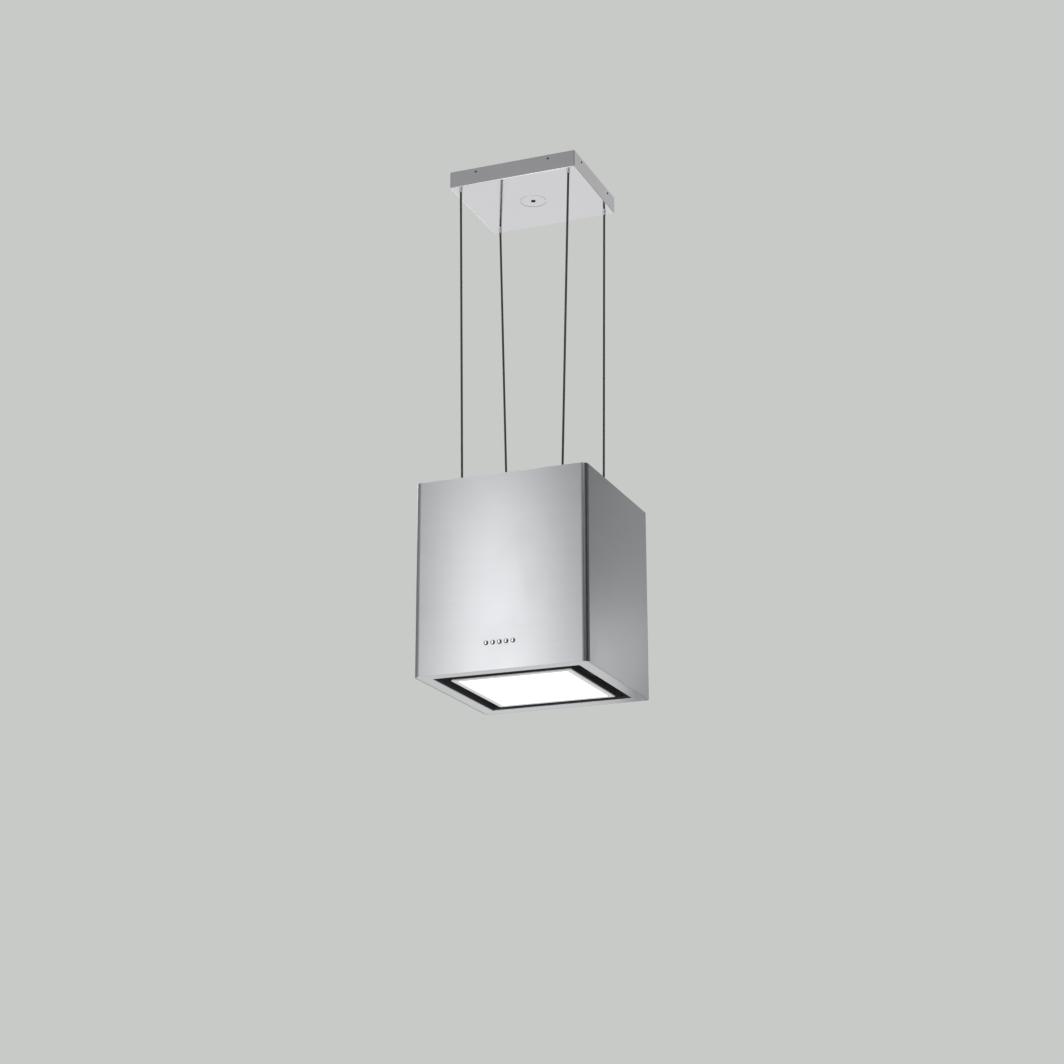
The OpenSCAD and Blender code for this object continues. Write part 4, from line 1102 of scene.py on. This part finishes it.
def add_world():
    """Plain pale backdrop, and the soft studio that the steel reflects."""
    world = bpy.data.worlds.new("studio")
    bpy.context.scene.world = world
    world.use_nodes = True
    tree = world.node_tree
    tree.nodes.clear()
    new, link = tree.nodes.new, tree.links.new

    def step(kind, *values, **settings):
        """Adds a node whose inputs are these values or other nodes' outputs."""
        made = new(kind)
        for name, value in settings.items():
            setattr(made, name, value)
        for socket, value in zip(made.inputs, values):
            if isinstance(value, bpy.types.NodeSocket):
                link(value, socket)
            else:
                socket.default_value = value
        return made

    def ring(levels, turn):
        """Brightness by compass angle."""
        made = step("ShaderNodeValToRGB", turn)
        made.color_ramp.interpolation = "EASE"
        stops = made.color_ramp.elements
        for degrees, level in levels:
            place = degrees / 360 + 0.5
            stop = {0.0: stops[0], 1.0: stops[-1]}.get(place) or stops.new(place)
            stop.color = (level, level, level, 1)
        return made.outputs[0]

    axes = step("ShaderNodeSeparateXYZ", new("ShaderNodeTexCoord").outputs["Generated"])
    front = step("ShaderNodeMath", axes.outputs[1], -1, operation="MULTIPLY")
    azimuth = step("ShaderNodeMath", axes.outputs[0], front.outputs[0], operation="ARCTAN2")
    turn = step("ShaderNodeMapRange", azimuth.outputs[0], -math.pi, math.pi, 0, 1).outputs[0]
    height = step("ShaderNodeMapRange", axes.outputs[2], *HORIZON, 0, 1, interpolation_type="SMOOTHSTEP")
    rings = step("ShaderNodeMix", height.outputs[0], data_type="RGBA")
    link(ring(GROUND, turn), rings.inputs[6])
    link(ring(SKY, turn), rings.inputs[7])
    studio = step("ShaderNodeBackground", rings.outputs[2], 1.0)
    backdrop = step("ShaderNodeBackground", BACKDROP, 1.0)
    seen = step("ShaderNodeMixShader", new("ShaderNodeLightPath").outputs["Is Camera Ray"])
    link(studio.outputs[0], seen.inputs[1])
    link(backdrop.outputs[0], seen.inputs[2])
    link(seen.outputs[0], new("ShaderNodeOutputWorld").inputs[0])


# Cards for reflections: name, lowest corner, highest corner, shade
FLAGS = (
    ("side_flag", (0.42, -1.50, -1.75), (0.43, -0.125, -0.58), 0.03),
    ("high_flag", (0.42, 0.04, -0.72), (0.43, 0.25, -0.36), 0.03),
    ("rear_flag", (-0.17, 1.07, -1.95), (0.35, 1.08, -1.20), 0.6),
)
BODY_MIDDLE = (SHELL_LOW + SHELL_HIGH) / 2
BODY_TOP = (0, 0, -0.8)
CEILING = (0, 0, 0)
# Soft lights: name, place, what it is aimed at, width and height, watts
LIGHTS = (
    ("front_strip", (-0.57, -1.55, -1.00), BODY_MIDDLE, (0.26, 1.5), 2.15),
    ("front_low", (-0.55, -1.55, -1.45), BODY_MIDDLE, (1.6, 0.5), 2.6),
    ("rear_low", (0.91, 1.42, -0.91), BODY_MIDDLE, (0.40, 0.5), 0.53),
    ("rear_side", (0.84, 1.95, -0.25), BODY_MIDDLE, (0.3, 0.9), 0.34),
    ("rear_high", (0.80, 1.80, 0.90), CEILING, (0.8, 0.6), 0.7),
    ("front_high", (-1.10, -2.70, 1.30), CEILING, (0.9, 0.3), 0.1),
    ("top_back", (-2.3, 2.3, 0.6), BODY_TOP, (2.0, 0.8), 16),
    ("top_front", (1.2, -1.2, -0.1), BODY_TOP, (0.8, 0.4), 2),
)
SKYLIGHT, SKYLIGHT_SPREAD = 2.1, 60

add_floor()
for flag in FLAGS:
    add_flag(*flag)
add_world()
for light in LIGHTS:
    add_light(*light)
add_sun(SKYLIGHT, SKYLIGHT_SPREAD)
bpy.context.scene.view_settings.view_transform = "Standard"
